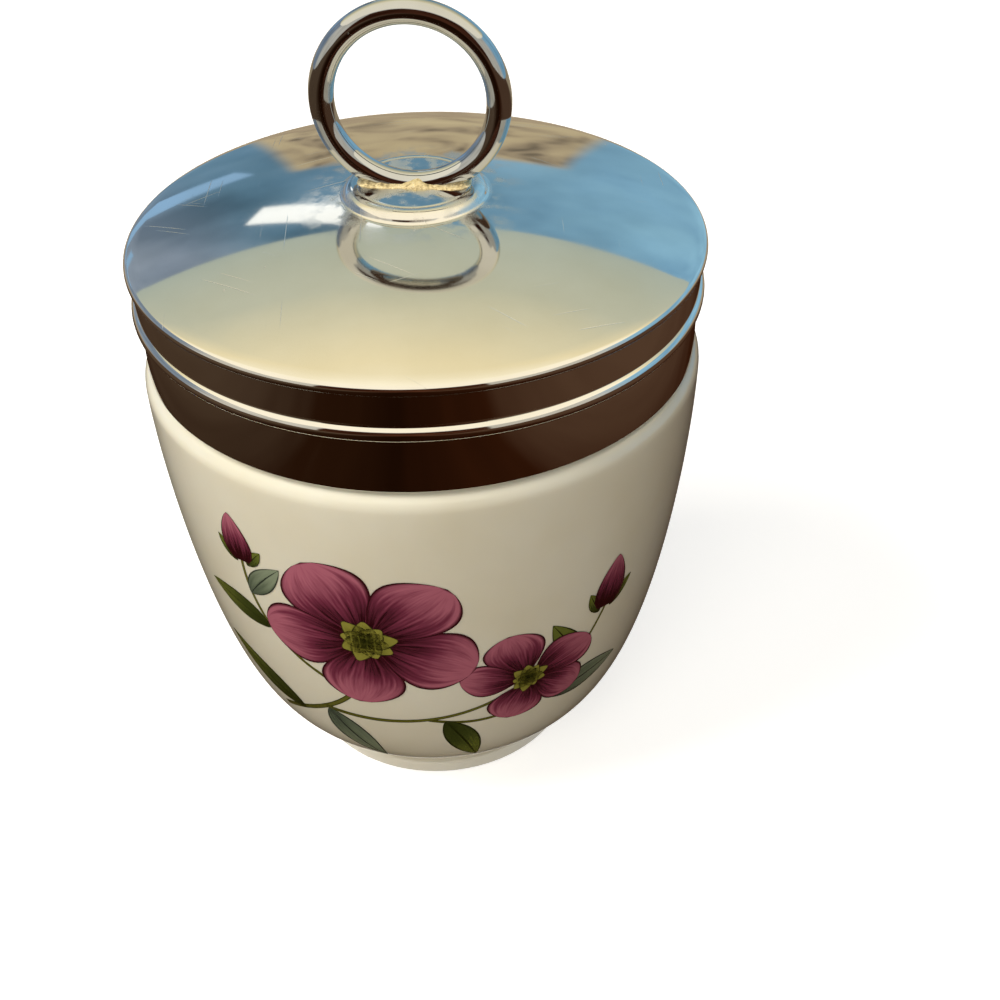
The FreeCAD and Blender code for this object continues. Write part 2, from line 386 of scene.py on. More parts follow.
def end_tree(
    tree: bpy.types.GeometryNodeTree, geometry: bpy.types.NodeSocket, material: bpy.types.Material
) -> None:
    """End a tree: make instances real, set the material and put the result out.

    Args:
        tree: The tree.
        geometry: Its shape so far.
        material: The material of the result.
    """
    real = add(tree, "GeometryNodeRealizeInstances", {"Geometry": geometry})
    dressed = add(tree, "GeometryNodeSetMaterial", {"Geometry": real.outputs[0], "Material": material})
    add(tree, "NodeGroupOutput", {"Geometry": dressed.outputs[0]})


def run_tree(
    piece: bpy.types.Object, tree: bpy.types.GeometryNodeTree, values: dict[str, Any]
) -> bpy.types.Object:
    """Run a tree on a piece and keep the result as a plain mesh.

    Args:
        piece: The object that carries the tree. It is removed.
        tree: The tree.
        values: Input name to value.

    Returns:
        A new object of the same name with the plain mesh.
    """
    modifier = piece.modifiers.new(tree.name, "NODES")
    modifier.node_group = tree
    for item in tree.interface.items_tree:
        if item.in_out == "INPUT" and item.name in values:
            modifier[item.identifier] = values[item.name]
    graph = bpy.context.evaluated_depsgraph_get()
    mesh = bpy.data.meshes.new_from_object(piece.evaluated_get(graph), depsgraph=graph)
    name = piece.name
    bpy.data.objects.remove(piece)
    mesh.name = name
    return new_object(name, mesh)


def thread_tree(material: bpy.types.Material) -> bpy.types.GeometryNodeTree:
    """A helical ridge: a spiral swept with a section, which comes in as the geometry.

    Args:
        material: The ridge's material.

    Returns:
        The tree, for an object that holds the section as a closed loop of edges.
    """
    tree = node_tree("moulded_thread", [
        ("Radius", "NodeSocketFloat", 0.0282),
        ("Start Height", "NodeSocketFloat", 0.058),
        ("Lead", "NodeSocketFloat", 0.006),
        ("Turns", "NodeSocketFloat", 1.2),
        ("Start Angle", "NodeSocketFloat", 0.0),
        ("Ramp", "NodeSocketFloat", 0.045),
    ])
    given = add(tree, "NodeGroupInput").outputs
    climb = add(tree, "ShaderNodeMath", {0: given["Lead"], 1: given["Turns"]}, operation="MULTIPLY")
    spiral = add(tree, "GeometryNodeCurveSpiral", {
        "Resolution": 160,
        "Rotations": given["Turns"],
        "Start Radius": given["Radius"],
        "End Radius": given["Radius"],
        "Height": climb.outputs[0],
        "Reverse": False,
    })
    along = add(tree, "GeometryNodeSplineParameter").outputs["Factor"]
    rest = add(tree, "ShaderNodeMath", {0: 1.0, 1: along}, operation="SUBTRACT").outputs[0]
    nearest = add(tree, "ShaderNodeMath", {0: along, 1: rest}, operation="MINIMUM").outputs[0]
    ramp = add(tree, "ShaderNodeMapRange", {
        "Value": nearest, "From Min": 0.0, "From Max": given["Ramp"], "To Min": 0.12, "To Max": 1.0,
    }, interpolation_type="SMOOTHSTEP")
    upright = add(tree, "GeometryNodeSetCurveNormal", {"Curve": spiral.outputs[0]}, mode="Z_UP")
    swept = add(tree, "GeometryNodeCurveToMesh", {
        "Curve": upright.outputs[0],
        "Profile Curve": add(tree, "GeometryNodeMeshToCurve", {"Mesh": given["Geometry"]}).outputs[0],
        "Scale": ramp.outputs["Result"],
        "Fill Caps": True,
    })
    turn = add(tree, "ShaderNodeCombineXYZ", {"Z": given["Start Angle"]})
    lift = add(tree, "ShaderNodeCombineXYZ", {"Z": given["Start Height"]})
    placed = add(tree, "GeometryNodeTransform", {
        "Geometry": swept.outputs[0], "Translation": lift.outputs[0], "Rotation": turn.outputs[0],
    })
    end_tree(tree, placed.outputs[0], material)
    return tree


def wheel_tree(material: bpy.types.Material) -> bpy.types.GeometryNodeTree:
    """Petals round a centre: instances of the petal that comes in, each turned and sized a little apart.

    Args:
        material: The petals' material.

    Returns:
        The tree, for an object that holds one flat petal.
    """
    tree = node_tree("petal_wheel", [
        ("Count", "NodeSocketInt", 5),
        ("Hub", "NodeSocketFloat", 0.001),
        ("Unevenness", "NodeSocketFloat", 0.08),
        ("Turn", "NodeSocketFloat", 0.0),
        ("Squash", "NodeSocketFloat", 1.0),
        ("Lean", "NodeSocketFloat", 0.0),
        ("Place", "NodeSocketVector", (0, 0, 0)),
        ("Layer Step", "NodeSocketFloat", 0.004),
        ("Seed", "NodeSocketInt", 1),
    ])
    given = add(tree, "NodeGroupInput").outputs
    points = add(tree, "GeometryNodePoints", {"Count": given["Count"]})
    index = add(tree, "GeometryNodeInputIndex").outputs[0]
    share = add(tree, "ShaderNodeMath", {0: index, 1: given["Count"]}, operation="DIVIDE").outputs[0]
    even = add(tree, "ShaderNodeMath", {0: share, 1: 2 * math.pi, 2: given["Turn"]}, operation="MULTIPLY_ADD")
    spread = given["Unevenness"]
    negative = add(tree, "ShaderNodeMath", {0: spread, 1: -1.0}, operation="MULTIPLY").outputs[0]
    wobble = add(tree, "FunctionNodeRandomValue", {
        "Min": negative, "Max": spread, "Seed": given["Seed"], "ID": index,
    }, data_type="FLOAT")
    low = add(tree, "ShaderNodeMath", {0: 1.0, 1: spread}, operation="SUBTRACT").outputs[0]
    high = add(tree, "ShaderNodeMath", {0: 1.0, 1: spread}, operation="ADD").outputs[0]
    scale_seed = add(tree, "ShaderNodeMath", {0: given["Seed"], 1: 17.0}, operation="ADD").outputs[0]
    size = add(tree, "FunctionNodeRandomValue", {
        "Min": low, "Max": high, "Seed": scale_seed, "ID": index,
    }, data_type="FLOAT")
    tone = add(tree, "FunctionNodeRandomValue", {"Seed": given["Seed"], "ID": index}, data_type="FLOAT")
    angle = add(tree, "ShaderNodeMath", {
        0: even.outputs[0], 1: wobble.outputs[1],
    }, operation="ADD").outputs[0]
    sine = add(tree, "ShaderNodeMath", {0: angle}, operation="SINE").outputs[0]
    cosine = add(tree, "ShaderNodeMath", {0: angle}, operation="COSINE").outputs[0]
    across = add(tree, "ShaderNodeMath", {0: sine, 1: given["Hub"]}, operation="MULTIPLY").outputs[0]
    minus = add(tree, "ShaderNodeMath", {0: across, 1: -1.0}, operation="MULTIPLY").outputs[0]
    upward = add(tree, "ShaderNodeMath", {0: cosine, 1: given["Hub"]}, operation="MULTIPLY").outputs[0]
    layer = add(tree, "ShaderNodeMath", {0: index, 1: given["Layer Step"]}, operation="MULTIPLY").outputs[0]
    place = add(tree, "ShaderNodeCombineXYZ", {"X": minus, "Y": upward, "Z": layer})
    moved = add(tree, "GeometryNodeSetPosition", {
        "Geometry": points.outputs[0], "Position": place.outputs[0],
    })
    turn = add(tree, "ShaderNodeCombineXYZ", {"Z": angle})
    spun = add(tree, "FunctionNodeEulerToRotation", {"Euler": turn.outputs[0]})
    kept = add(tree, "GeometryNodeStoreNamedAttribute", {
        "Geometry": moved.outputs[0], "Name": "tone", "Value": tone.outputs[1],
    }, data_type="FLOAT", domain="POINT")
    placed = add(tree, "GeometryNodeInstanceOnPoints", {
        "Points": kept.outputs[0], "Instance": given["Geometry"],
        "Rotation": spun.outputs[0], "Scale": size.outputs[1],
    })
    flat = add(tree, "ShaderNodeCombineXYZ", {"X": 1.0, "Y": given["Squash"], "Z": 1.0})
    lean = add(tree, "ShaderNodeCombineXYZ", {"Z": given["Lean"]})
    laid = add(tree, "GeometryNodeTransform", {
        "Geometry": placed.outputs[0], "Translation": given["Place"],
        "Rotation": lean.outputs[0], "Scale": flat.outputs[0],
    })
    end_tree(tree, laid.outputs[0], material)
    return tree


def wrap_tree(material: bpy.types.Material) -> bpy.types.GeometryNodeTree:
    """Lays a flat print on the cup: X goes round it, Y is height and Z is the height over the glaze.

    Args:
        material: The print's material.

    Returns:
        The tree, for an object that holds the flat print.
    """
    tree = node_tree("wrap_on_cup", [
        ("Cup", "NodeSocketObject", None),
        ("Girth Radius", "NodeSocketFloat", 0.031),
        ("Lift", "NodeSocketFloat", 0.00002),
        ("Bearing", "NodeSocketFloat", 0.0),
    ])
    given = add(tree, "NodeGroupInput").outputs
    flat = add(tree, "ShaderNodeSeparateXYZ", {0: add(tree, "GeometryNodeInputPosition").outputs[0]}).outputs
    turned = add(tree, "ShaderNodeMath", {0: flat["X"], 1: given["Girth Radius"]}, operation="DIVIDE")
    angle = add(tree, "ShaderNodeMath", {
        0: turned.outputs[0], 1: given["Bearing"],
    }, operation="ADD").outputs[0]
    sine = add(tree, "ShaderNodeMath", {0: angle}, operation="SINE").outputs[0]
    cosine = add(tree, "ShaderNodeMath", {0: angle}, operation="COSINE").outputs[0]
    minus = add(tree, "ShaderNodeMath", {0: cosine, 1: -1.0}, operation="MULTIPLY").outputs[0]
    outward = add(tree, "ShaderNodeCombineXYZ", {"X": sine, "Y": minus}).outputs[0]
    stand = add(tree, "ShaderNodeVectorMath", {0: outward, "Scale": RAY_START}, operation="SCALE").outputs[0]
    height = add(tree, "ShaderNodeCombineXYZ", {"Z": flat["Y"]}).outputs[0]
    source = add(tree, "ShaderNodeVectorMath", {0: stand, 1: height}, operation="ADD").outputs[0]
    inward = add(tree, "ShaderNodeVectorMath", {0: outward, "Scale": -1.0}, operation="SCALE").outputs[0]
    target = add(tree, "GeometryNodeObjectInfo", {"Object": given["Cup"]}).outputs["Geometry"]
    hit = add(tree, "GeometryNodeRaycast", {
        "Target Geometry": target, "Source Position": source,
        "Ray Direction": inward, "Ray Length": RAY_LENGTH,
    }).outputs
    over = add(tree, "ShaderNodeMath", {0: flat["Z"], 1: given["Lift"]}, operation="ADD").outputs[0]
    raised = add(tree, "ShaderNodeVectorMath", {0: hit["Hit Normal"], "Scale": over}, operation="SCALE")
    final = add(tree, "ShaderNodeVectorMath", {0: hit["Hit Position"], 1: raised.outputs[0]}, operation="ADD")
    moved = add(tree, "GeometryNodeSetPosition", {
        "Geometry": given["Geometry"], "Position": final.outputs[0],
    })
    end_tree(tree, moved.outputs[0], material)
    return tree


# Finishes


def empty_material(name: str) -> tuple[bpy.types.Material, bpy.types.NodeTree]:
    """Make a material with an empty tree.

    Args:
        name: Its name.

    Returns:
        The material and its tree.
    """
    material = bpy.data.materials.new(name)
    material.use_nodes = True
    material.node_tree.nodes.clear()
    return material, material.node_tree


def new_material(name: str) -> tuple[bpy.types.Material, bpy.types.NodeTree, bpy.types.Node]:
    """Make a material with its Principled shader already on the output.

    Args:
        name: Its name.

    Returns:
        The material, its tree and the shader.
    """
    material, tree = empty_material(name)
    shader = add(tree, "ShaderNodeBsdfPrincipled")
    add(tree, "ShaderNodeOutputMaterial", {"Surface": shader.outputs[0]})
    return material, tree, shader


@dataclass(frozen=True)
class GlazedPorcelain:
    """Bone porcelain under a clear fired glaze: warm white, glassy, a little milky inside."""

    body: str = "#E4E3D5"
    body_warm: str = "#DCD8C4"
    roughness: float = 0.16
    cloud_mm: float = 18.0
    ripple_mm: float = 6.0
    ripple: float = 0.03
    ripple_height_mm: float = 0.2
    milkiness: float = 0.12
    milk_depth_mm: float = 2.0

    def build(self) -> bpy.types.Material:
        """Make the material.

        Returns:
            The material.
        """
        material, tree, shader = new_material("glazed_bone_porcelain")
        place = add(tree, "ShaderNodeTexCoord").outputs["Object"]
        cloud = add(tree, "ShaderNodeTexNoise", {
            "Vector": place, "Scale": 1 / (self.cloud_mm * MM), "Detail": 3.0,
        }).outputs["Fac"]
        tint = add(tree, "ShaderNodeValToRGB", {"Fac": cloud}, {0.3: self.body_warm, 0.7: self.body})
        ripple = add(tree, "ShaderNodeTexNoise", {
            "Vector": place, "Scale": 1 / (self.ripple_mm * MM), "Detail": 2.0,
        }).outputs["Fac"]
        bump = add(tree, "ShaderNodeBump", {
            "Height": ripple, "Strength": self.ripple, "Distance": self.ripple_height_mm * MM,
        })
        feed(tree, shader, {
            "Base Color": tint.outputs["Color"],
            "Normal": bump.outputs[0],
            "Roughness": self.roughness,
            "Subsurface Weight": self.milkiness,
            "Subsurface Radius": (0.9, 0.7, 0.45),
            "Subsurface Scale": self.milk_depth_mm * MM,
            **GLAZE_GLOSS,
        })
        return material


@dataclass(frozen=True)
class PolishedPlate:
    """Polished plated metal: a mirror with a few hairline scratches and tiny pits on what faces up.

    Real scratches and pits are too fine to show, so both are drawn coarser than they are.
    """

    name: str = "polished_plated_metal"
    colour: str = "#E4E2DD"
    cloudy: str = "#D8D4C8"
    roughness: float = 0.04
    hair_length_mm: float = 14.0
    hair_width_mm: float = 0.18
    hair_turns_deg: tuple[float, ...] = (28.0, 97.0, 151.0)
    pit_spacing_mm: float = 4.2
    haze_mm: float = 11.11
    mark_depth_mm: float = 0.03
    marked_above_mm: float = 69.4
    bloom_radius_mm: float = 0.0
    bloom_fade: float = 1.7
    bloom_grain_mm: float = 2.381

    def hairlines(self, tree: bpy.types.NodeTree, place: bpy.types.NodeSocket) -> bpy.types.NodeSocket:
        """Sparse straight scratches in three directions.

        Args:
            tree: The material's tree.
            place: Object coordinates.

        Returns:
            1 in a scratch and 0 off it.
        """
        found = None
        for turn_deg in self.hair_turns_deg:
            turned = add(tree, "ShaderNodeMapping", {
                "Vector": place,
                "Rotation": (0.0, 0.0, math.radians(turn_deg)),
                "Scale": (self.hair_length_mm * MM, self.hair_width_mm * MM, 1.0),
            }, vector_type="TEXTURE").outputs[0]
            grain = add(tree, "ShaderNodeTexNoise", {"Vector": turned, "Scale": 1.0, "Detail": 0.0})
            line = add(tree, "ShaderNodeMapRange", {
                "Value": grain.outputs["Fac"], "From Min": 0.84, "From Max": 0.89,
            }).outputs["Result"]
            if found:
                line = add(tree, "ShaderNodeMath", {0: found, 1: line}, operation="MAXIMUM").outputs[0]
            found = line
        return found

    def pits(self, tree: bpy.types.NodeTree, place: bpy.types.NodeSocket) -> bpy.types.NodeSocket:
        """Tiny pits of uneven size.

        Args:
            tree: The material's tree.
            place: Object coordinates.

        Returns:
            1 in a pit and 0 off it.
        """
        cells = add(tree, "ShaderNodeTexVoronoi", {
            "Vector": place, "Scale": 1 / (self.pit_spacing_mm * MM), "Randomness": 1.0,
        }).outputs
        share = add(tree, "ShaderNodeSeparateColor", {0: cells["Color"]}).outputs[0]
        size = add(tree, "ShaderNodeMapRange", {
            "Value": share, "From Min": 0.45, "From Max": 1.0, "To Min": 0.0, "To Max": 0.05,
        }).outputs["Result"]
        return add(tree, "ShaderNodeMath", {0: cells["Distance"], 1: size}, operation="LESS_THAN").outputs[0]

    def build(self) -> bpy.types.Material:
        """Make the material.

        Returns:
            The material.
        """
        material, tree, shader = new_material(self.name)
        place = add(tree, "ShaderNodeTexCoord").outputs["Object"]
        height = add(tree, "ShaderNodeSeparateXYZ", {0: place}).outputs["Z"]
        upper = add(tree, "ShaderNodeMath", {
            0: height, 1: self.marked_above_mm * MM,
        }, operation="GREATER_THAN").outputs[0]
        marks = add(tree, "ShaderNodeMath", {
            0: self.hairlines(tree, place), 1: self.pits(tree, place),
        }, operation="MAXIMUM").outputs[0]
        marks = add(tree, "ShaderNodeMath", {0: marks, 1: upper}, operation="MULTIPLY").outputs[0]
        haze = add(tree, "ShaderNodeTexNoise", {
            "Vector": place, "Scale": 1 / (self.haze_mm * MM), "Detail": 5.0,
        }).outputs["Fac"]
        gloss = add(tree, "ShaderNodeMapRange", {
            "Value": haze, "From Min": 0.35, "From Max": 0.75,
            "To Min": self.roughness, "To Max": self.roughness * 2.0,
        }).outputs["Result"]
        worn = add(tree, "ShaderNodeMath", {0: marks, 1: 0.3, 2: gloss}, operation="MULTIPLY_ADD").outputs[0]
        if self.bloom_radius_mm:
            worn = self.bloom(tree, place, worn)
        bump = add(tree, "ShaderNodeBump", {
            "Height": marks, "Strength": 0.5, "Distance": self.mark_depth_mm * MM,
        }, invert=True)
        tint = add(tree, "ShaderNodeValToRGB", {"Fac": haze}, {0.2: self.colour, 0.85: self.cloudy})
        feed(tree, shader, {
            "Base Color": tint.outputs["Color"],
            "Roughness": worn,
            "Normal": bump.outputs[0],
            "Metallic": 1.0,
        })
        return material

    def bloom(
        self, tree: bpy.types.NodeTree, place: bpy.types.NodeSocket, roughness: bpy.types.NodeSocket
    ) -> bpy.types.NodeSocket:
        """Dull the plate in cloudy patches round the brazed disc, where heat bloomed it.

        Args:
            tree: The material's tree.
            place: Object coordinates.
            roughness: The roughness so far.

        Returns:
            The roughness with the bloom added.
        """
        parts = add(tree, "ShaderNodeSeparateXYZ", {0: place}).outputs
        flat = add(tree, "ShaderNodeCombineXYZ", {"X": parts["X"], "Y": parts["Y"]}).outputs[0]
        away = add(tree, "ShaderNodeVectorMath", {0: flat}, operation="LENGTH").outputs["Value"]
        near = add(tree, "ShaderNodeMapRange", {
            "Value": away,
            "From Min": self.bloom_radius_mm * MM, "From Max": self.bloom_radius_mm * self.bloom_fade * MM,
            "To Min": 1.0, "To Max": 0.0,
        }).outputs["Result"]
        cloud = add(tree, "ShaderNodeTexNoise", {
            "Vector": place, "Scale": 1 / (self.bloom_grain_mm * MM), "Detail": 6.0,
        }).outputs["Fac"]
        patch = add(tree, "ShaderNodeMapRange", {
            "Value": cloud, "From Min": 0.44, "From Max": 0.64, "To Max": 0.34,
        }).outputs["Result"]
        dull = add(tree, "ShaderNodeMath", {0: near, 1: patch, 2: roughness}, operation="MULTIPLY_ADD")
        return dull.outputs[0]


@dataclass(frozen=True)
class RolledLinerMetal:
    """Thin rolled sheet inside the lid: unpolished, with lines round the axis, drawn coarser than real."""

    colour: str = "#B9B7B0"
    dull: str = "#A3A099"
    roughness: float = 0.34
    line_mm: float = 0.35
    line_run_mm: float = 83.3

    def build(self) -> bpy.types.Material:
        """Make the material.

        Returns:
            The material.
        """
        material, tree, shader = new_material("rolled_liner_metal")
        place = add(tree, "ShaderNodeTexCoord").outputs["Object"]
        run = 1 / (self.line_run_mm * MM)
        squeezed = add(tree, "ShaderNodeMapping", {
            "Vector": place, "Scale": (run, run, 1 / (self.line_mm * MM)),
        })
        lines = add(tree, "ShaderNodeTexNoise", {
            "Vector": squeezed.outputs[0], "Scale": 1.0, "Detail": 3.0,
        }).outputs["Fac"]
        gloss = add(tree, "ShaderNodeMapRange", {
            "Value": lines, "To Min": self.roughness * 0.7, "To Max": self.roughness * 1.3,
        })
        bump = add(tree, "ShaderNodeBump", {"Height": lines, "Strength": 0.15, "Distance": 0.05 * MM})
        tint = add(tree, "ShaderNodeValToRGB", {"Fac": lines}, {0.25: self.dull, 0.75: self.colour})
        feed(tree, shader, {
            "Base Color": tint.outputs["Color"],
            "Roughness": gloss.outputs["Result"],
            "Normal": bump.outputs[0],
            "Metallic": 1.0,
        })
        return material


@dataclass(frozen=True)
class SealRubber:
    """Pale moulded rubber: matt, with a fine skin and a little dust."""

    colour: str = "#C9C4B6"
    dusty: str = "#B5B0A1"
    roughness: float = 0.62
    skin_mm: float = 0.4

    def build(self) -> bpy.types.Material:
        """Make the material.

        Returns:
            The material.
        """
        material, tree, shader = new_material("moulded_seal_rubber")
        place = add(tree, "ShaderNodeTexCoord").outputs["Object"]
        skin = add(tree, "ShaderNodeTexNoise", {
            "Vector": place, "Scale": 1 / (self.skin_mm * MM), "Detail": 4.0,
        }).outputs["Fac"]
        tint = add(tree, "ShaderNodeValToRGB", {"Fac": skin}, {0.3: self.dusty, 0.7: self.colour})
        bump = add(tree, "ShaderNodeBump", {"Height": skin, "Strength": 0.2, "Distance": 0.08 * MM})
        feed(tree, shader, {
            "Base Color": tint.outputs["Color"],
            "Normal": bump.outputs[0],
            "Roughness": self.roughness,
        })
        return material


@dataclass(frozen=True)
class BrazeAlloy:
    """Brazing alloy as it ran and froze: golden, grainy, greyer where flux burned."""

    gold: str = "#E6D3A2"
    grey: str = "#9C8B6A"
    bright: str = "#F4E9C8"
    grain_mm: float = 0.45

    def build(self) -> bpy.types.Material:
        """Make the material.

        Returns:
            The material.
        """
        material, tree, shader = new_material("golden_brazing_alloy")
        place = add(tree, "ShaderNodeTexCoord").outputs["Object"]
        grain = add(tree, "ShaderNodeTexNoise", {
            "Vector": place, "Scale": 1 / (self.grain_mm * MM), "Detail": 5.0, "Roughness": 0.6,
        }).outputs["Fac"]
        tint = add(tree, "ShaderNodeValToRGB", {"Fac": grain}, {
            0.32: self.grey, 0.5: self.gold, 0.75: self.bright,
        })
        gloss = add(tree, "ShaderNodeMapRange", {
            "Value": grain, "From Min": 0.3, "From Max": 0.7, "To Min": 0.5, "To Max": 0.22,
        })
        bump = add(tree, "ShaderNodeBump", {"Height": grain, "Strength": 0.6, "Distance": 0.2 * MM})
        feed(tree, shader, {
            "Base Color": tint.outputs["Color"],
            "Roughness": gloss.outputs["Result"],
            "Normal": bump.outputs[0],
            "Metallic": 0.7,
        })
        return material


@dataclass(frozen=True)
class TransferPrint:
    """Ceramic transfer colours fired under the glaze: shaded along each petal or leaf, veined, outlined."""

    name: str
    root: str
    middle: str
    tip: str
    outline: str
    veins: float = 0.75
    vein_count: float = 9.0
    midrib: float = 0.0
    edge_share: float = 0.09
    roughness: float = 0.2
    spread: tuple[float, float, float] = (0.1, 0.48, 0.85)

    def build(self) -> bpy.types.Material:
        """Make the material, which reads the print's own UV map: X across, Y from root to tip.

        Returns:
            The material.
        """
        material, tree, shader = new_material(self.name)
        sheet = add(tree, "ShaderNodeUVMap", uv_map="petal").outputs[0]
        parts = add(tree, "ShaderNodeSeparateXYZ", {0: sheet}).outputs
        tone = add(tree, "ShaderNodeAttribute", attribute_name="tone").outputs["Fac"]
        side = add(tree, "ShaderNodeMath", {0: parts["X"], 1: 0.5}, operation="SUBTRACT").outputs[0]
        off = add(tree, "ShaderNodeMath", {0: side}, operation="ABSOLUTE").outputs[0]
        strands = add(tree, "ShaderNodeCombineXYZ", {"X": parts["X"], "Y": parts["Y"], "Z": tone}).outputs[0]
        stretched = add(tree, "ShaderNodeMapping", {
            "Vector": strands, "Scale": (self.vein_count, 1.1, 7.0),
        }).outputs[0]
        streak = add(tree, "ShaderNodeTexNoise", {
            "Vector": stretched, "Scale": 1.6, "Detail": 4.0, "Roughness": 0.55,
        }).outputs["Fac"]
        bent = add(tree, "ShaderNodeMath", {0: streak, 1: 0.5}, operation="SUBTRACT").outputs[0]
        shade = add(tree, "ShaderNodeMath", {0: bent, 1: self.veins, 2: parts["Y"]}, operation="MULTIPLY_ADD")
        toned = add(tree, "ShaderNodeMath", {0: tone, 1: 0.16, 2: shade.outputs[0]}, operation="MULTIPLY_ADD")
        colours = (self.root, self.middle, self.tip)
        tint = add(tree, "ShaderNodeValToRGB", {"Fac": toned.outputs[0]}, dict(zip(self.spread, colours)))
        rim = add(tree, "ShaderNodeMapRange", {
            "Value": off, "From Min": 0.5 - self.edge_share, "From Max": 0.5 - self.edge_share * 0.35,
        }).outputs["Result"]
        crown = add(tree, "ShaderNodeMapRange", {
            "Value": parts["Y"], "From Min": 1 - self.edge_share * 0.5, "From Max": 1 - self.edge_share * 0.1,
        }).outputs["Result"]
        line = add(tree, "ShaderNodeMath", {0: rim, 1: crown}, operation="MAXIMUM").outputs[0]
        if self.midrib:
            rib = add(tree, "ShaderNodeMapRange", {
                "Value": off, "From Min": self.midrib * 0.4, "From Max": self.midrib,
                "To Min": 1.0, "To Max": 0.0,
            }).outputs["Result"]
            line = add(tree, "ShaderNodeMath", {0: line, 1: rib}, operation="MAXIMUM").outputs[0]
        outlined = add(tree, "ShaderNodeMix", {
            0: line, 6: tint.outputs["Color"], 7: srgb(self.outline),
        }, data_type="RGBA")
        feed(tree, shader, {
            "Base Color": outlined.outputs[2],
            "Roughness": self.roughness,
            **GLAZE_GLOSS,
        })
        return material


@dataclass(frozen=True)
class StudioCard:
    """A plain card that only mirrors see, whose colour changes evenly across it."""

    name: str
    stops: dict[float, str]
    axis: str = "Z"
    start: float = 0.0
    end: float = 1.0
    mottle: float = 0.0
    strength: float = 1.0

    def build(self) -> bpy.types.Material:
        """Make the material. Its stops run from start to end, in metres along its axis.

        Returns:
            The material.
        """
        material, tree = empty_material(self.name)
        place = add(tree, "ShaderNodeTexCoord").outputs["Object"]
        along = add(tree, "ShaderNodeSeparateXYZ", {0: place}).outputs[self.axis]
        share = add(tree, "ShaderNodeMapRange", {
            "Value": along, "From Min": self.start, "From Max": self.end,
        }).outputs["Result"]
        cloud = add(tree, "ShaderNodeTexNoise", {"Vector": place, "Scale": 5.0, "Detail": 4.0}).outputs["Fac"]
        centred = add(tree, "ShaderNodeMath", {0: cloud, 1: 0.5}, operation="SUBTRACT").outputs[0]
        mixed = add(tree, "ShaderNodeMath", {
            0: centred, 1: self.mottle, 2: share,
        }, operation="MULTIPLY_ADD").outputs[0]
        colour = add(tree, "ShaderNodeValToRGB", {"Fac": mixed}, self.stops)
        glow = add(tree, "ShaderNodeEmission", {"Color": colour.outputs["Color"], "Strength": self.strength})
        add(tree, "ShaderNodeOutputMaterial", {"Surface": glow.outputs[0]})
        return material


def span(
    tree: bpy.types.NodeTree, value: bpy.types.NodeSocket, low: float, high: float, soft: float = 0.018
) -> bpy.types.NodeSocket:
    """Mark the stretch between two values, with soft ends.

    Args:
        tree: The material's tree.
        value: The value.
        low: The lower end.
        high: The upper end.
        soft: Half the width of each soft end.

    Returns:
        1 between the two, and 0 outside them.
    """
    rise = add(tree, "ShaderNodeMapRange", {
        "Value": value, "From Min": low - soft, "From Max": low + soft,
    }, interpolation_type="SMOOTHSTEP").outputs["Result"]
    fall = add(tree, "ShaderNodeMapRange", {
        "Value": value, "From Min": high - soft, "From Max": high + soft,
        "To Min": 1.0, "To Max": 0.0,
    }, interpolation_type="SMOOTHSTEP").outputs["Result"]
    return add(tree, "ShaderNodeMath", {0: rise, 1: fall}, operation="MULTIPLY").outputs[0]


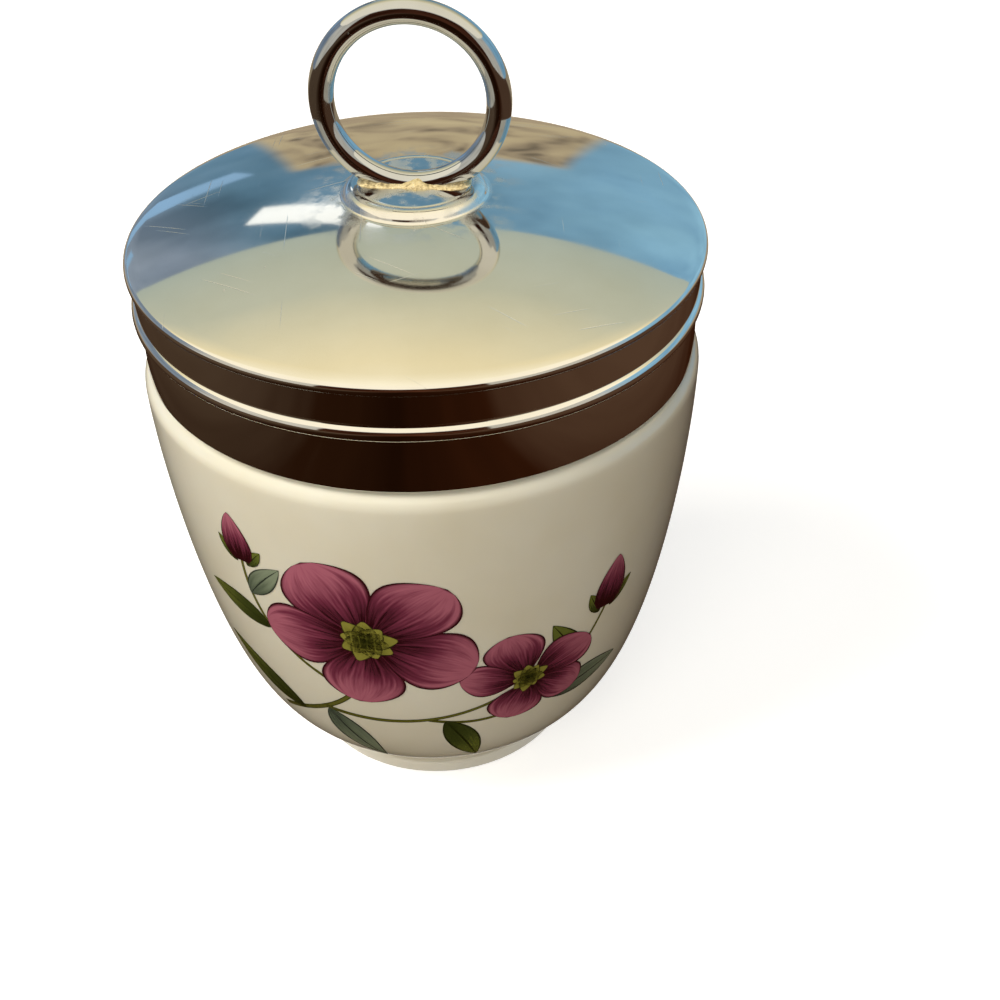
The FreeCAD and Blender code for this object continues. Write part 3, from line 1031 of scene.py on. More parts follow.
@dataclass(frozen=True)
class StudioWall:
    """The walls that only mirrors see: tan low at the back, blue round it, and dark behind the camera."""

    tan_top: float = 0.365
    tan_left: float = -0.36
    tan_right: float = 0.09
    dark_top: float = 0.72
    dark_half: float = 0.62
    far_edge: float = 5.0

    def patch(
        self, tree: bpy.types.NodeTree, place: bpy.types.NodeSocket, across: Point, up: Point, away: Point
    ) -> bpy.types.NodeSocket:
        """Mark a patch of the walls.

        Args:
            tree: The material's tree.
            place: Object coordinates.
            across: Its ends along X, in metres.
            up: Its ends along Z.
            away: Its ends along Y.

        Returns:
            1 in the patch, and 0 outside it.
        """
        axes = add(tree, "ShaderNodeSeparateXYZ", {0: place}).outputs
        found = span(tree, axes["X"], *across)
        for axis, limits in (("Z", up), ("Y", away)):
            found = add(tree, "ShaderNodeMath", {
                0: found, 1: span(tree, axes[axis], *limits),
            }, operation="MULTIPLY").outputs[0]
        return found

    def build(self) -> bpy.types.Material:
        """Make the material.

        Returns:
            The material.
        """
        material, tree = empty_material("banded_wall_card")
        place = add(tree, "ShaderNodeTexCoord").outputs["Object"]
        parts = add(tree, "ShaderNodeSeparateXYZ", {0: place}).outputs
        cloud = add(tree, "ShaderNodeTexNoise", {"Vector": place, "Scale": 3.4, "Detail": 5.0}).outputs["Fac"]
        leaves = add(tree, "ShaderNodeTexNoise", {
            "Vector": place, "Scale": 7.0, "Detail": 3.0, "Distortion": 1.2,
        }).outputs["Fac"]
        edge = self.far_edge
        across = add(tree, "ShaderNodeMapRange", {
            "Value": parts["X"], "From Min": -0.4, "From Max": 0.5,
        }, interpolation_type="SMOOTHSTEP")
        aside = add(tree, "ShaderNodeMapRange", {
            "Value": parts["X"], "From Min": -0.75, "From Max": -0.45, "To Min": 1.0, "To Max": 0.0,
        }, interpolation_type="SMOOTHSTEP")
        low = self.patch(tree, place, (self.tan_left, self.tan_right), (-1.0, self.tan_top), (0.2, edge))
        front = add(tree, "ShaderNodeMapRange", {
            "Value": parts["Y"], "From Min": 0.1, "From Max": -0.5,
        }, interpolation_type="SMOOTHSTEP")
        shade = self.patch(
            tree, place, (-self.dark_half, self.dark_half), (-1.0, self.dark_top), (-edge, -0.2),
        )
        layers = (
            (None, cloud, {0.3: "#48687F", 0.5: "#638AA6", 0.72: "#7DA2BE"}),
            (across.outputs["Result"], cloud, {0.3: "#7CAED2", 0.7: "#A6DCFB"}),
            (aside.outputs["Result"], cloud, {0.3: "#75869A", 0.7: "#9CABBF"}),
            (low, leaves, {0.31: "#6A6154", 0.39: "#A3947C", 0.5: "#C2B291", 0.75: "#D2C29C"}),
            (front.outputs["Result"], cloud, {0.3: "#C9C4B8", 0.7: "#E8E4DA"}),
            (shade, cloud, {0.3: "#2A1208", 0.7: "#5A3424"}),
        )
        colour = None
        for factor, texture, stops in layers:
            paint = add(tree, "ShaderNodeValToRGB", {"Fac": texture}, stops).outputs["Color"]
            if colour:
                mixed = add(tree, "ShaderNodeMix", {0: factor, 6: colour, 7: paint}, data_type="RGBA")
                paint = mixed.outputs[2]
            colour = paint
        glow = add(tree, "ShaderNodeEmission", {"Color": colour})
        add(tree, "ShaderNodeOutputMaterial", {"Surface": glow.outputs[0]})
        return material


@dataclass(frozen=True)
class StudioTable:
    """The table that only mirrors see: dark wood by the cup, paler to its sides and behind it."""

    dark_half: float = 0.16
    behind: float = 0.16
    far_edge: float = 5.0
    soft_edge: float = 0.05
    streakiness: float = 0.24

    def build(self) -> bpy.types.Material:
        """Make the material.

        Returns:
            The material.
        """
        material, tree = empty_material("dark_table_card")
        place = add(tree, "ShaderNodeTexCoord").outputs["Object"]
        parts = add(tree, "ShaderNodeSeparateXYZ", {0: place}).outputs
        grain = add(tree, "ShaderNodeMapping", {"Vector": place, "Scale": (38.0, 5.0, 1.0)}).outputs[0]
        cloud = add(tree, "ShaderNodeTexNoise", {"Vector": grain, "Scale": 1.0, "Detail": 3.0}).outputs["Fac"]
        share = add(tree, "ShaderNodeMapRange", {
            "Value": parts["X"], "From Min": -self.dark_half, "From Max": self.dark_half,
        }).outputs["Result"]
        mixed = add(tree, "ShaderNodeMath", {
            0: cloud, 1: self.streakiness, 2: share,
        }, operation="MULTIPLY_ADD").outputs[0]
        wood = add(tree, "ShaderNodeValToRGB", {"Fac": mixed}, {
            0.1: "#5E4C3C", 0.45: "#2A160A", 0.62: "#1E0D04", 0.8: "#33180A", 1.0: "#5A4232",
        })
        pale = add(tree, "ShaderNodeValToRGB", {"Fac": cloud}, {0.3: "#A08F78", 0.7: "#C2B193"})
        shown = add(tree, "ShaderNodeMix", {
            0: span(tree, parts["Y"], self.behind, self.far_edge, self.soft_edge),
            6: wood.outputs["Color"],
            7: pale.outputs["Color"],
        }, data_type="RGBA")
        glow = add(tree, "ShaderNodeEmission", {"Color": shown.outputs[2]})
        add(tree, "ShaderNodeOutputMaterial", {"Surface": glow.outputs[0]})
        return material


# The object


@dataclass
class CupShape:
    """Sizes of the porcelain cup."""

    foot_radius: float = 17.8
    foot_height: float = 6.5
    foot_flare: float = 0.5
    foot_rim: float = 2.6
    foot_round: float = 0.6
    foot_recess: float = 2.8
    foot_ledge: float = 1.0
    shoulder_radius: float = 32.0
    shoulder_height: float = 56.3
    shoulder_round: float = 1.8
    side_pull: float = 12.0
    bowl_pull: float = 9.0
    belly_radius: float = 27.8
    belly_depth: float = 20.0
    floor_height: float = 8.8
    inner_pull: float = 15.0
    bottom_pull: float = 20.0
    throat: float = 9.0
    throat_ease: float = 5.4
    neck_radius: float = 28.2
    neck_bore: float = 25.0
    neck_top: float = 66.85
    neck_cove: float = 0.6
    lip_round: float = 1.3


@dataclass
class ThreadShape:
    """Sizes of the ridge that neck and lid share."""

    lead: float = 6.0
    height: float = 1.2
    root: float = 2.2
    crest: float = 1.0
    embed: float = 0.25
    flank_gap: float = 0.4
    end_margin: float = 0.5


@dataclass
class Cup:
    """The porcelain cup: foot, egg-shaped side, shoulder, neck, thread and chamber."""

    shape: CupShape = field(default_factory=CupShape)
    thread: ThreadShape = field(default_factory=ThreadShape)
    around: int = 224

    def section(self) -> list[Point]:
        """The whole half section.

        Returns:
            Its points, from the axis under the foot round to the axis inside.
        """
        s = self.shape
        inner = s.foot_radius - s.foot_rim
        high = s.shoulder_height - s.shoulder_round
        foot = rounded_points([
            (0, s.foot_recess, 0),
            (inner - s.foot_flare, s.foot_recess, s.foot_round),
            (inner, 0, s.foot_round),
            (s.foot_radius, 0, s.foot_round),
            (s.foot_radius + s.foot_flare, s.foot_height, s.foot_round),
            (s.foot_radius + s.foot_flare + s.foot_ledge, s.foot_height, 0),
        ])
        ledge = s.foot_radius + s.foot_flare + s.foot_ledge
        side = curve_points([
            (ledge, s.foot_height), (ledge + s.bowl_pull, s.foot_height),
            (s.shoulder_radius, high - s.side_pull), (s.shoulder_radius, high),
        ], 64)
        shoulder = arc_points((s.shoulder_radius - s.shoulder_round, high), s.shoulder_round, 0, 90, 8)
        neck = rounded_points([
            (s.shoulder_radius - s.shoulder_round, s.shoulder_height, 0),
            (s.neck_radius, s.shoulder_height, s.neck_cove),
            (s.neck_radius, s.neck_top, s.lip_round),
            (s.neck_bore, s.neck_top, s.lip_round),
            (s.neck_bore, s.neck_top - s.throat, 0),
        ])
        belly = s.neck_top - s.belly_depth
        throat = s.neck_top - s.throat
        widening = curve_points([
            (s.neck_bore, throat), (s.neck_bore, throat - s.throat_ease),
            (s.belly_radius, belly + s.throat_ease), (s.belly_radius, belly),
        ], 16)
        bowl = curve_points([
            (s.belly_radius, belly), (s.belly_radius, belly - s.inner_pull),
            (s.bottom_pull, s.floor_height), (0, s.floor_height),
        ], 40)
        return foot + side[1:] + shoulder[1:] + neck[1:] + widening[1:] + bowl[1:]

    def thread_start(self) -> float:
        """Height of the middle of the ridge's lower end."""
        cove_top = self.shape.shoulder_height + self.shape.neck_cove
        return cove_top + self.thread.end_margin + self.thread.root / 2

    def build(self, glaze: bpy.types.Material, ridge: bpy.types.GeometryNodeTree) -> bpy.types.Object:
        """Make the cup with its thread.

        Args:
            glaze: The porcelain's material.
            ridge: The tree that sweeps a thread ridge.

        Returns:
            The cup.
        """
        body = revolve("porcelain_cup", self.section(), self.around, closed=False)
        start = self.thread_start()
        end = self.shape.neck_top - self.thread.root / 2
        turns = (end - start) / self.thread.lead
        wall = self.shape.neck_radius
        moulded = sweep_thread("neck_thread", ridge, self.thread, wall, 1, start, turns, 0.0)
        cup = join("porcelain_cup", [body, moulded])
        smooth(cup.data)
        cup.data.materials.append(glaze)
        return cup


def sweep_thread(
    name: str,
    tree: bpy.types.GeometryNodeTree,
    thread: ThreadShape,
    radius: float,
    direction: int,
    start: float,
    turns: float,
    angle_deg: float,
) -> bpy.types.Object:
    """Make one helical thread ridge.

    Args:
        name: The object's name.
        tree: The sweeping tree.
        thread: The ridge's sizes.
        radius: Radius of the wall that it stands on, in millimetres.
        direction: 1 where it points outwards, -1 where it points inwards.
        start: Height of its lower end's middle.
        turns: Its length in turns.
        angle_deg: Bearing of its lower end.

    Returns:
        The ridge as an object with a plain mesh.
    """
    corners = [
        (-thread.embed, -thread.root / 2), (0, -thread.root / 2),
        (thread.height, -thread.crest / 2), (thread.height, thread.crest / 2),
        (0, thread.root / 2), (-thread.embed, thread.root / 2),
    ]
    mesh = bpy.data.meshes.new(name)
    verts = [(-direction * out * MM, up * MM, 0) for out, up in corners]
    edges = [(step, (step + 1) % len(corners)) for step in range(len(corners))]
    mesh.from_pydata(verts, edges, [])
    ridge = run_tree(new_object(name, mesh), tree, {
        "Radius": radius * MM,
        "Start Height": start * MM,
        "Lead": thread.lead * MM,
        "Turns": turns,
        "Start Angle": math.radians(angle_deg),
    })
    turned = bmesh.new()
    turned.from_mesh(ridge.data)
    bmesh.ops.remove_doubles(turned, verts=turned.verts, dist=WELD)
    bmesh.ops.recalc_face_normals(turned, faces=turned.faces)
    turned.to_mesh(ridge.data)
    turned.free()
    return ridge


@dataclass
class LidShape:
    """Sizes of the lid's shell, liner and washer."""

    bottom: float = 56.7
    skirt_radius: float = 31.3
    wall: float = 0.6
    lower_band: float = 6.25
    bead_width: float = 1.8
    bead_proud: float = 0.62
    upper_band: float = 4.25
    upper_step: float = 0.2
    groove_width: float = 0.3
    groove_depth: float = 0.12
    rim_proud: float = 0.7
    rim_round: float = 0.75
    rim_slope: float = 20.0
    edge_band: float = 1.1
    dome_rise: float = 5.3
    hem_round: float = 0.25
    corner_lift: float = 0.2
    liner_wall: float = 0.7
    liner_fit: float = 0.05
    liner_setback: float = 0.5
    liner_edge: float = 0.2
    liner_bend: float = 0.25
    liner_cove: float = 0.3
    liner_break: float = 4.0
    mouth_radius: float = 25.0
    seal_thickness: float = 1.2
    seal_side_gap: float = 0.3
    seal_relief: float = 0.2
    seal_round: float = 0.25


@dataclass
class Lid:
    """The plated screw lid: domed shell, threaded liner and seal washer."""

    shape: LidShape = field(default_factory=LidShape)
    thread: ThreadShape = field(default_factory=ThreadShape)
    around: int = 320

    @property
    def rim_height(self) -> float:
        """Height of the widest part of the rim."""
        s = self.shape
        return s.bottom + s.lower_band + s.bead_width + s.upper_band

    @property
    def rim_radius(self) -> float:
        """Radius of the lid at its rim."""
        return self.shape.skirt_radius + self.shape.rim_proud

    @property
    def dome_top(self) -> float:
        """Height of the middle of the domed top."""
        return self.rim_height + self.shape.dome_rise

    def dome_edge(self) -> Point:
        """The crease between the dome and the sloping band round it.

        Returns:
            Its radius and height.
        """
        slope = math.radians(self.shape.rim_slope)
        centre = self.rim_radius - self.shape.rim_round
        tangent = centre + self.shape.rim_round * math.sin(slope)
        radius = self.rim_radius - self.shape.edge_band
        foot = self.rim_height + self.shape.rim_round * math.cos(slope)
        return (radius, foot + (tangent - radius) * math.tan(slope))

    def dome_height(self, radius: float, inset: float = 0.0) -> float:
        """Height of the dome at a radius.

        Args:
            radius: The radius.
            inset: How far below the surface, measured square to it.

        Returns:
            The height.
        """
        edge_radius, edge_height = self.dome_edge()
        rise = self.dome_top - edge_height
        sphere = (edge_radius ** 2 + rise ** 2) / (2 * rise)
        return self.dome_top - sphere + math.sqrt((sphere - inset) ** 2 - radius ** 2)

    def shell_section(self) -> list[Point]:
        """The shell's half section.

        Returns:
            Its points, from the top of the dome round to its underside.
        """
        s = self.shape
        edge_radius, _ = self.dome_edge()
        steps = 48
        radii = [edge_radius * n / steps for n in range(steps + 1)]
        dome = [(radius, self.dome_height(radius)) for radius in radii]
        centre = self.rim_radius - s.rim_round
        upper = s.skirt_radius + s.upper_step
        under = -math.degrees(math.acos((upper - centre) / s.rim_round))
        rim = arc_points((centre, self.rim_height), s.rim_round, 90 - s.rim_slope, under, 20)
        bead_top = self.rim_height - s.upper_band
        bead_bottom = bead_top - s.bead_width
        groove = [
            (upper, bead_top + s.groove_width),
            (upper - s.groove_depth, bead_top + s.groove_width / 2),
        ]
        bead = bulge_points(
            (s.skirt_radius + s.upper_step / 2, bead_top), (s.skirt_radius, bead_bottom),
            s.bead_proud, 16,
        )
        bore = s.skirt_radius - s.wall
        hem = rounded_points([
            (s.skirt_radius, bead_bottom, 0),
            (s.skirt_radius, s.bottom, s.hem_round),
            (bore, s.bottom, s.hem_round),
            (bore, self.rim_height + s.corner_lift, 0),
        ])
        inner_edge = edge_radius - s.wall
        inside = [
            (inner_edge * n / steps, self.dome_height(inner_edge * n / steps, s.wall))
            for n in range(steps, -1, -1)
        ]
        return dome + rim + groove + bead + hem[1:] + inside

    def build_shell(self, plate: bpy.types.Material) -> bpy.types.Object:
        """Make the polished shell.

        Args:
            plate: Its material.

        Returns:
            The shell.
        """
        shell = revolve("lid_shell_polished", self.shell_section(), self.around, closed=False)
        shell.data.materials.append(plate)
        return shell

    def liner_top(self) -> float:
        """Height of the liner's flat top."""
        return self.rim_height + self.shape.corner_lift - self.shape.liner_fit

    def seal_span(self) -> tuple[float, float]:
        """Heights of the washer's underside and top."""
        top = self.liner_top() - self.shape.liner_wall - self.shape.liner_fit
        return top - self.shape.seal_thickness, top

    def liner_bore(self) -> float:
        """Inner radius of the liner's wall."""
        return self.shape.skirt_radius - self.shape.wall - self.shape.liner_fit - self.shape.liner_wall

    def build_liner(
        self, metal: bpy.types.Material, ridge: bpy.types.GeometryNodeTree, neck_start: float
    ) -> bpy.types.Object:
        """Make the threaded liner.

        Args:
            metal: Its material.
            ridge: The tree that sweeps a thread ridge.
            neck_start: Height of the lower end of the neck's ridge.

        Returns:
            The liner.
        """
        s = self.shape
        bottom = s.bottom + s.liner_setback
        top = self.liner_top()
        bore = self.liner_bore()
        collar = revolve("liner_collar", rounded_points([
            (bore, bottom + s.liner_break, 0),
            (bore, bottom, s.liner_edge),
            (bore + s.liner_wall, bottom, s.liner_edge),
            (bore + s.liner_wall, top, s.liner_bend),
            (s.mouth_radius, top, s.liner_edge),
            (s.mouth_radius, top - s.liner_wall, s.liner_edge),
            (bore, top - s.liner_wall, s.liner_cove),
            (bore, bottom + s.liner_break * 1.5, 0),
        ]), self.around, closed=True)
        start = bottom + self.thread.end_margin + self.thread.root / 2
        end = self.seal_span()[0] - self.thread.end_margin - self.thread.root / 2
        turns = (end - start) / self.thread.lead
        offset = self.thread.root + self.thread.flank_gap
        angle = 360 * (start - neck_start + offset) / self.thread.lead
        rolled = sweep_thread("liner_thread", ridge, self.thread, bore, -1, start, turns, angle)
        liner = join("threaded_liner", [collar, rolled])
        smooth(liner.data)
        liner.data.materials.append(metal)
        return liner

    def build_seal(self, rubber: bpy.types.Material) -> bpy.types.Object:
        """Make the washer, with its corners moulded round.

        Args:
            rubber: Its material.

        Returns:
            The washer.
        """
        s = self.shape
        low, high = self.seal_span()
        inner = s.mouth_radius + s.seal_relief
        outer = self.liner_bore() - s.seal_side_gap
        middle = (low + high) / 2
        seal = revolve("seal_washer", rounded_points([
            (inner, middle, 0),
            (inner, low, s.seal_round),
            (outer, low, s.seal_round),
            (outer, high, s.seal_round),
            (inner, high, s.seal_round),
            (inner, middle + 0.01, 0),
        ]), 192, closed=True)
        seal.data.materials.append(rubber)
        return seal


SEAM_CREST_WAVES = ((1.0, 1.3, 0.4), (0.5, 3.1, 0.0), (0.35, 7.3, 1.1))
SEAM_SIDE_WAVES = ((0.05, 1.9, 0.7), (0.02, 5.1, 0.0))


def waves(x: float, terms: Sequence[tuple[float, float, float]]) -> float:
    """The sum of several sine waves at x, each given as its height, rate and phase."""
    return sum(height * math.sin(rate * x + phase) for height, rate, phase in terms)


@dataclass
class Handle:
    """The raised disc, the ring on it and the brazed seam between them."""

    lid: Lid
    disc_base: float = 8.0
    disc_top: float = 6.05
    disc_rise: float = 0.85
    disc_bulge: float = 0.35
    solder_film: float = 0.05
    disc_soft: float = 0.18
    solder_fillet: float = 0.4
    solder_heel: float = 0.15
    solder_rise: float = 0.26
    ring_bore: float = 8.0
    wire: float = 1.35
    grind: float = 1.6
    seam_film: float = 0.1
    seam_length: float = 12.4
    seam_width: float = 4.0
    seam_height: float = 0.95
    seam_rest: float = 0.52
    seam_lumps: float = 0.06
    seam_drop: float = 0.4
    seam_drop_place: float = 0.2

    def deck(self) -> float:
        """Height of the disc's flat top."""
        return self.lid.dome_top + self.disc_rise

    def build_disc(self, plate: bpy.types.Material) -> bpy.types.Object:
        """Make the raised disc, hollowed under to sit on the dome.

        Args:
            plate: Its material.

        Returns:
            The disc, with the solder round its foot.
        """
        dome = self.lid.dome_height
        radii = [self.disc_base * n / 10 for n in range(11)]
        under = [(radius, dome(radius) + self.solder_film) for radius in radii]
        toe = self.disc_base + self.solder_fillet
        heel = self.disc_base - self.solder_heel
        fillet = curve_points([
            (toe, dome(toe) + 0.005),
            (self.disc_base + 0.1, dome(self.disc_base) + 0.01),
            (self.disc_base - 0.02, dome(self.disc_base) + 0.06),
            (heel, dome(heel) + self.solder_rise),
        ], 8)
        soft = self.disc_soft
        side = bulge_points(
            fillet[-1], (self.disc_top + soft, self.deck() - soft * 0.35), -self.disc_bulge, 12,
        )
        edge = [(self.disc_top + soft * 0.35, self.deck() - soft * 0.05), (self.disc_top - soft, self.deck())]
        outline = under + fillet + side[1:] + edge + [(0, self.deck())]
        disc = revolve("raised_disc", outline, 160, closed=False)
        disc.data.materials.append(plate)
        return disc

    def ring_centre(self) -> float:
        """Height of the ring's centre."""
        return self.deck() + self.seam_film + self.ring_bore + 2 * self.wire - self.grind

    def build_ring(self, plate: bpy.types.Material) -> bpy.types.Object:
        """Make the wire ring, ground flat at its foot.

        Args:
            plate: Its material.

        Returns:
            The ring.
        """
        made = bmesh.new()
        major = self.ring_bore + self.wire
        turns, sides = 288, 48
        centre = self.ring_centre()
        rows = []
        for turn in range(turns):
            a = 2 * math.pi * turn / turns
            row = []
            for side in range(sides):
                b = 2 * math.pi * side / sides
                reach = major + self.wire * math.cos(b)
                row.append(made.verts.new((
                    reach * math.cos(a) * MM,
                    self.wire * math.sin(b) * MM,
                    (centre + reach * math.sin(a)) * MM,
                )))
            rows.append(row)
        for turn in range(turns):
            here, after = rows[turn], rows[(turn + 1) % turns]
            for side in range(sides):
                step = (side + 1) % sides
                made.faces.new((here[side], after[side], after[step], here[step]))
        floor = Vector((0, 0, (self.deck() + self.seam_film) * MM))
        cut = bmesh.ops.bisect_plane(
            made, geom=made.verts[:] + made.edges[:] + made.faces[:],
            plane_co=floor, plane_no=(0, 0, 1), clear_inner=True,
        )
        loop = [e for e in cut["geom_cut"] if isinstance(e, bmesh.types.BMEdge)]
        bmesh.ops.contextual_create(made, geom=loop)
        ring = finish_mesh("lifting_ring", made, 40)
        ring.data.materials.append(plate)
        return ring

    def seam_taper(self, x: float) -> float:
        """How full the seam is at a place along it: 1 in its middle, 0 at its ends."""
        return math.sqrt(max(0.0, 1 - (2 * x / self.seam_length) ** 2))

    def seam_crest(self, x: float) -> float:
        """Height of the run alloy along the seam.

        Args:
            x: The place along the seam, 0 in its middle.

        Returns:
            Its height over the disc.
        """
        lumps = self.seam_lumps * waves(x, SEAM_CREST_WAVES)
        drop = self.seam_drop * math.exp(-(x - self.seam_drop_place) ** 2)
        return (self.seam_rest + lumps) * min(1.0, 1.9 * self.seam_taper(x)) + drop

    def build_seam(self, alloy: bpy.types.Material) -> bpy.types.Object:
        """Make the brazed seam: a low run of alloy round the wire's foot, higher in the middle.

        Args:
            alloy: Its material.

        Returns:
            The seam.
        """
        made = bmesh.new()
        columns, rows = 150, 36
        grid = []
        floor = []
        for column in range(columns + 1):
            x = -self.seam_length / 2 + self.seam_length * column / columns
            half = self.seam_width / 2 * min(1.0, 0.3 + 1.1 * self.seam_taper(x))
            half *= 0.93 + waves(x, SEAM_SIDE_WAVES)
            crest = min(self.seam_height, self.seam_crest(x))
            line = []
            for row in range(rows + 1):
                share = -1 + 2 * row / rows
                fall = (1 - abs(share) ** 2.6) ** 0.7
                ripple = 1 + 0.06 * math.sin(4.3 * x + 3 * share)
                line.append(made.verts.new((
                    x * MM, share * half * MM, (self.deck() + crest * fall * ripple * 0.94) * MM,
                )))
            grid.append(line)
            floor.append([
                made.verts.new((x * MM, side * half * MM, self.deck() * MM)) for side in (-1, 1)
            ])
        for column in range(columns):
            for row in range(rows):
                made.faces.new((
                    grid[column][row], grid[column + 1][row],
                    grid[column + 1][row + 1], grid[column][row + 1],
                ))
            made.faces.new((floor[column][0], floor[column][1], floor[column + 1][1], floor[column + 1][0]))
            for side, row in ((0, 0), (1, rows)):
                made.faces.new((
                    floor[column][side], floor[column + 1][side],
                    grid[column + 1][row], grid[column][row],
                ))
        for column in (0, columns):
            made.faces.new(grid[column] + [floor[column][1], floor[column][0]])
        bmesh.ops.remove_doubles(made, verts=made.verts, dist=WELD)
        seam = finish_mesh("brazed_seam", made, 50)
        seam.data.materials.append(alloy)
        return seam


class LeafForm(Enum):
    """The outlines that a flat printed shape can have."""

    PETAL = "petal"
    LEAF = "leaf"
    BUD = "bud"


def outline_width(form: LeafForm, share: float) -> float:
    """Half width of a printed shape.

    Args:
        form: Its outline.
        share: The place along it, from 0 at its root to 1 at its tip.

    Returns:
        The half width, from 0 to 1.
    """
    if share >= 1:
        return 0.0
    if form is LeafForm.PETAL:
        return math.sin(math.pi * share ** 1.25) ** 0.62 * (0.35 + 0.65 * share ** 0.4)
    if form is LeafForm.LEAF:
        return math.sin(math.pi * share ** 0.85) ** 0.85
    return math.sin(math.pi * (0.06 + 0.94 * share) ** 0.7) ** 0.75


def printed_sheet(
    name: str, points: Sequence[Point], sheet: Sequence[Point], columns: int, layer: float, tone: float
) -> bpy.types.Object:
    """Make a flat sheet from rows of points.

    Args:
        name: The object's name.
        points: Its points in millimetres, row after row.
        sheet: Each point's place on the UV map.
        columns: The number of points in a row, from left to right.
        layer: Its height over the print's ground.
        tone: Its own shade, from 0 to 1.

    Returns:
        The sheet, with its UV map and its tone attribute.
    """
    corners = (0, 1, columns + 1, columns)
    starts = [n for n in range(len(points) - columns) if n % columns < columns - 1]
    mesh = bpy.data.meshes.new(name)
    mesh.from_pydata(
        [(x * MM, y * MM, layer * MM) for x, y in points], [],
        [tuple(start + corner for corner in corners) for start in starts],
    )
    layer_uv = mesh.uv_layers.new(name="petal")
    for loop in mesh.loops:
        layer_uv.data[loop.index].uv = sheet[loop.vertex_index]
    shades = mesh.attributes.new("tone", "FLOAT", "POINT")
    shades.data.foreach_set("value", [tone] * len(points))
    return new_object(name, mesh)


def flat_shape(
    name: str,
    form: LeafForm,
    length: float,
    width: float,
    bend: float = 0.0,
    place: Point = (0.0, 0.0),
    turn_deg: float = 0.0,
    layer: float = 0.0,
    tone: float = 0.5,
) -> bpy.types.Object:
    """Make one printed shape as a flat sheet that points along Y.

    Args:
        name: The object's name.
        form: Its outline.
        length: Its length in millimetres.
        width: Its full width.
        bend: How far its tip curves to one side.
        place: Where its root lies on the print.
        turn_deg: Its turn about the root, anticlockwise.
        layer: Its height over the print's ground.
        tone: Its own shade, from 0 to 1.

    Returns:
        The sheet, with its UV map and its tone attribute.
    """
    along, across = 40, 16
    points, sheet = [], []
    turn = math.radians(turn_deg)
    for row in range(along + 1):
        share = row / along
        half = width / 2 * outline_width(form, share)
        for column in range(across + 1):
            side = -1 + 2 * column / across
            ruffle = 1 + 0.035 * math.sin(9 * side + 5 * share) * share
            x = side * half * ruffle + bend * share ** 2
            y = length * share
            points.append((
                place[0] + x * math.cos(turn) - y * math.sin(turn),
                place[1] + x * math.sin(turn) + y * math.cos(turn),
            ))
            sheet.append((0.5 + side / 2, share))
    return printed_sheet(name, points, sheet, across + 1, layer, tone)


def stem_shape(name: str, poles: Sequence[Point], width: float, layer: float) -> bpy.types.Object:
    """Make a printed stem: a narrow flat strip along a cubic curve.

    Args:
        name: The object's name.
        poles: The curve's four poles, in millimetres on the print.
        width: Its width at the root.
        layer: Its height over the print's ground.

    Returns:
        The strip, with its UV map and its tone attribute.
    """
    steps, across = 60, 4
    line = [Vector(p) for p in curve_points(poles, steps)]
    points, sheet = [], []
    for step, here in enumerate(line):
        ahead = line[min(step + 1, steps)] - line[max(step - 1, 0)]
        side = Vector((-ahead.y, ahead.x)).normalized()
        taper = 1 - 0.35 * step / steps
        for column in range(across, -1, -1):
            offset = side * (width * taper * (column / across - 0.5))
            points.append((here.x + offset.x, here.y + offset.y))
            sheet.append((1 - column / across, 0.15 + 0.7 * step / steps))
    return printed_sheet(name, points, sheet, across + 1, layer, 0.5)


@dataclass
class Blossom:
    """One open five-petalled blossom of the print, seen from above or from the side."""

    place: Point
    petal_length: float
    petal_width: float
    turn_deg: float = 0.0
    squash: float = 1.0
    lean_deg: float = 0.0
    count: int = 5
    hub: float = 0.6
    unevenness: float = 0.09
    petal_step: float = 0.004
    seed: int = 3

    def build(self, name: str, wheel: bpy.types.GeometryNodeTree) -> bpy.types.Object:
        """Make the ring of petals, flat.

        Args:
            name: The object's name.
            wheel: The tree that sets petals round a centre.

        Returns:
            The petals as one sheet.
        """
        petal = flat_shape(name, LeafForm.PETAL, self.petal_length, self.petal_width, bend=0.5)
        return run_tree(petal, wheel, {
            "Count": self.count,
            "Hub": self.hub * MM,
            "Unevenness": self.unevenness,
            "Turn": math.radians(self.turn_deg),
            "Squash": self.squash,
            "Lean": math.radians(self.lean_deg),
            "Place": (self.place[0] * MM, self.place[1] * MM, BUD_LAYER * MM),
            "Layer Step": self.petal_step * MM,
            "Seed": self.seed,
        })


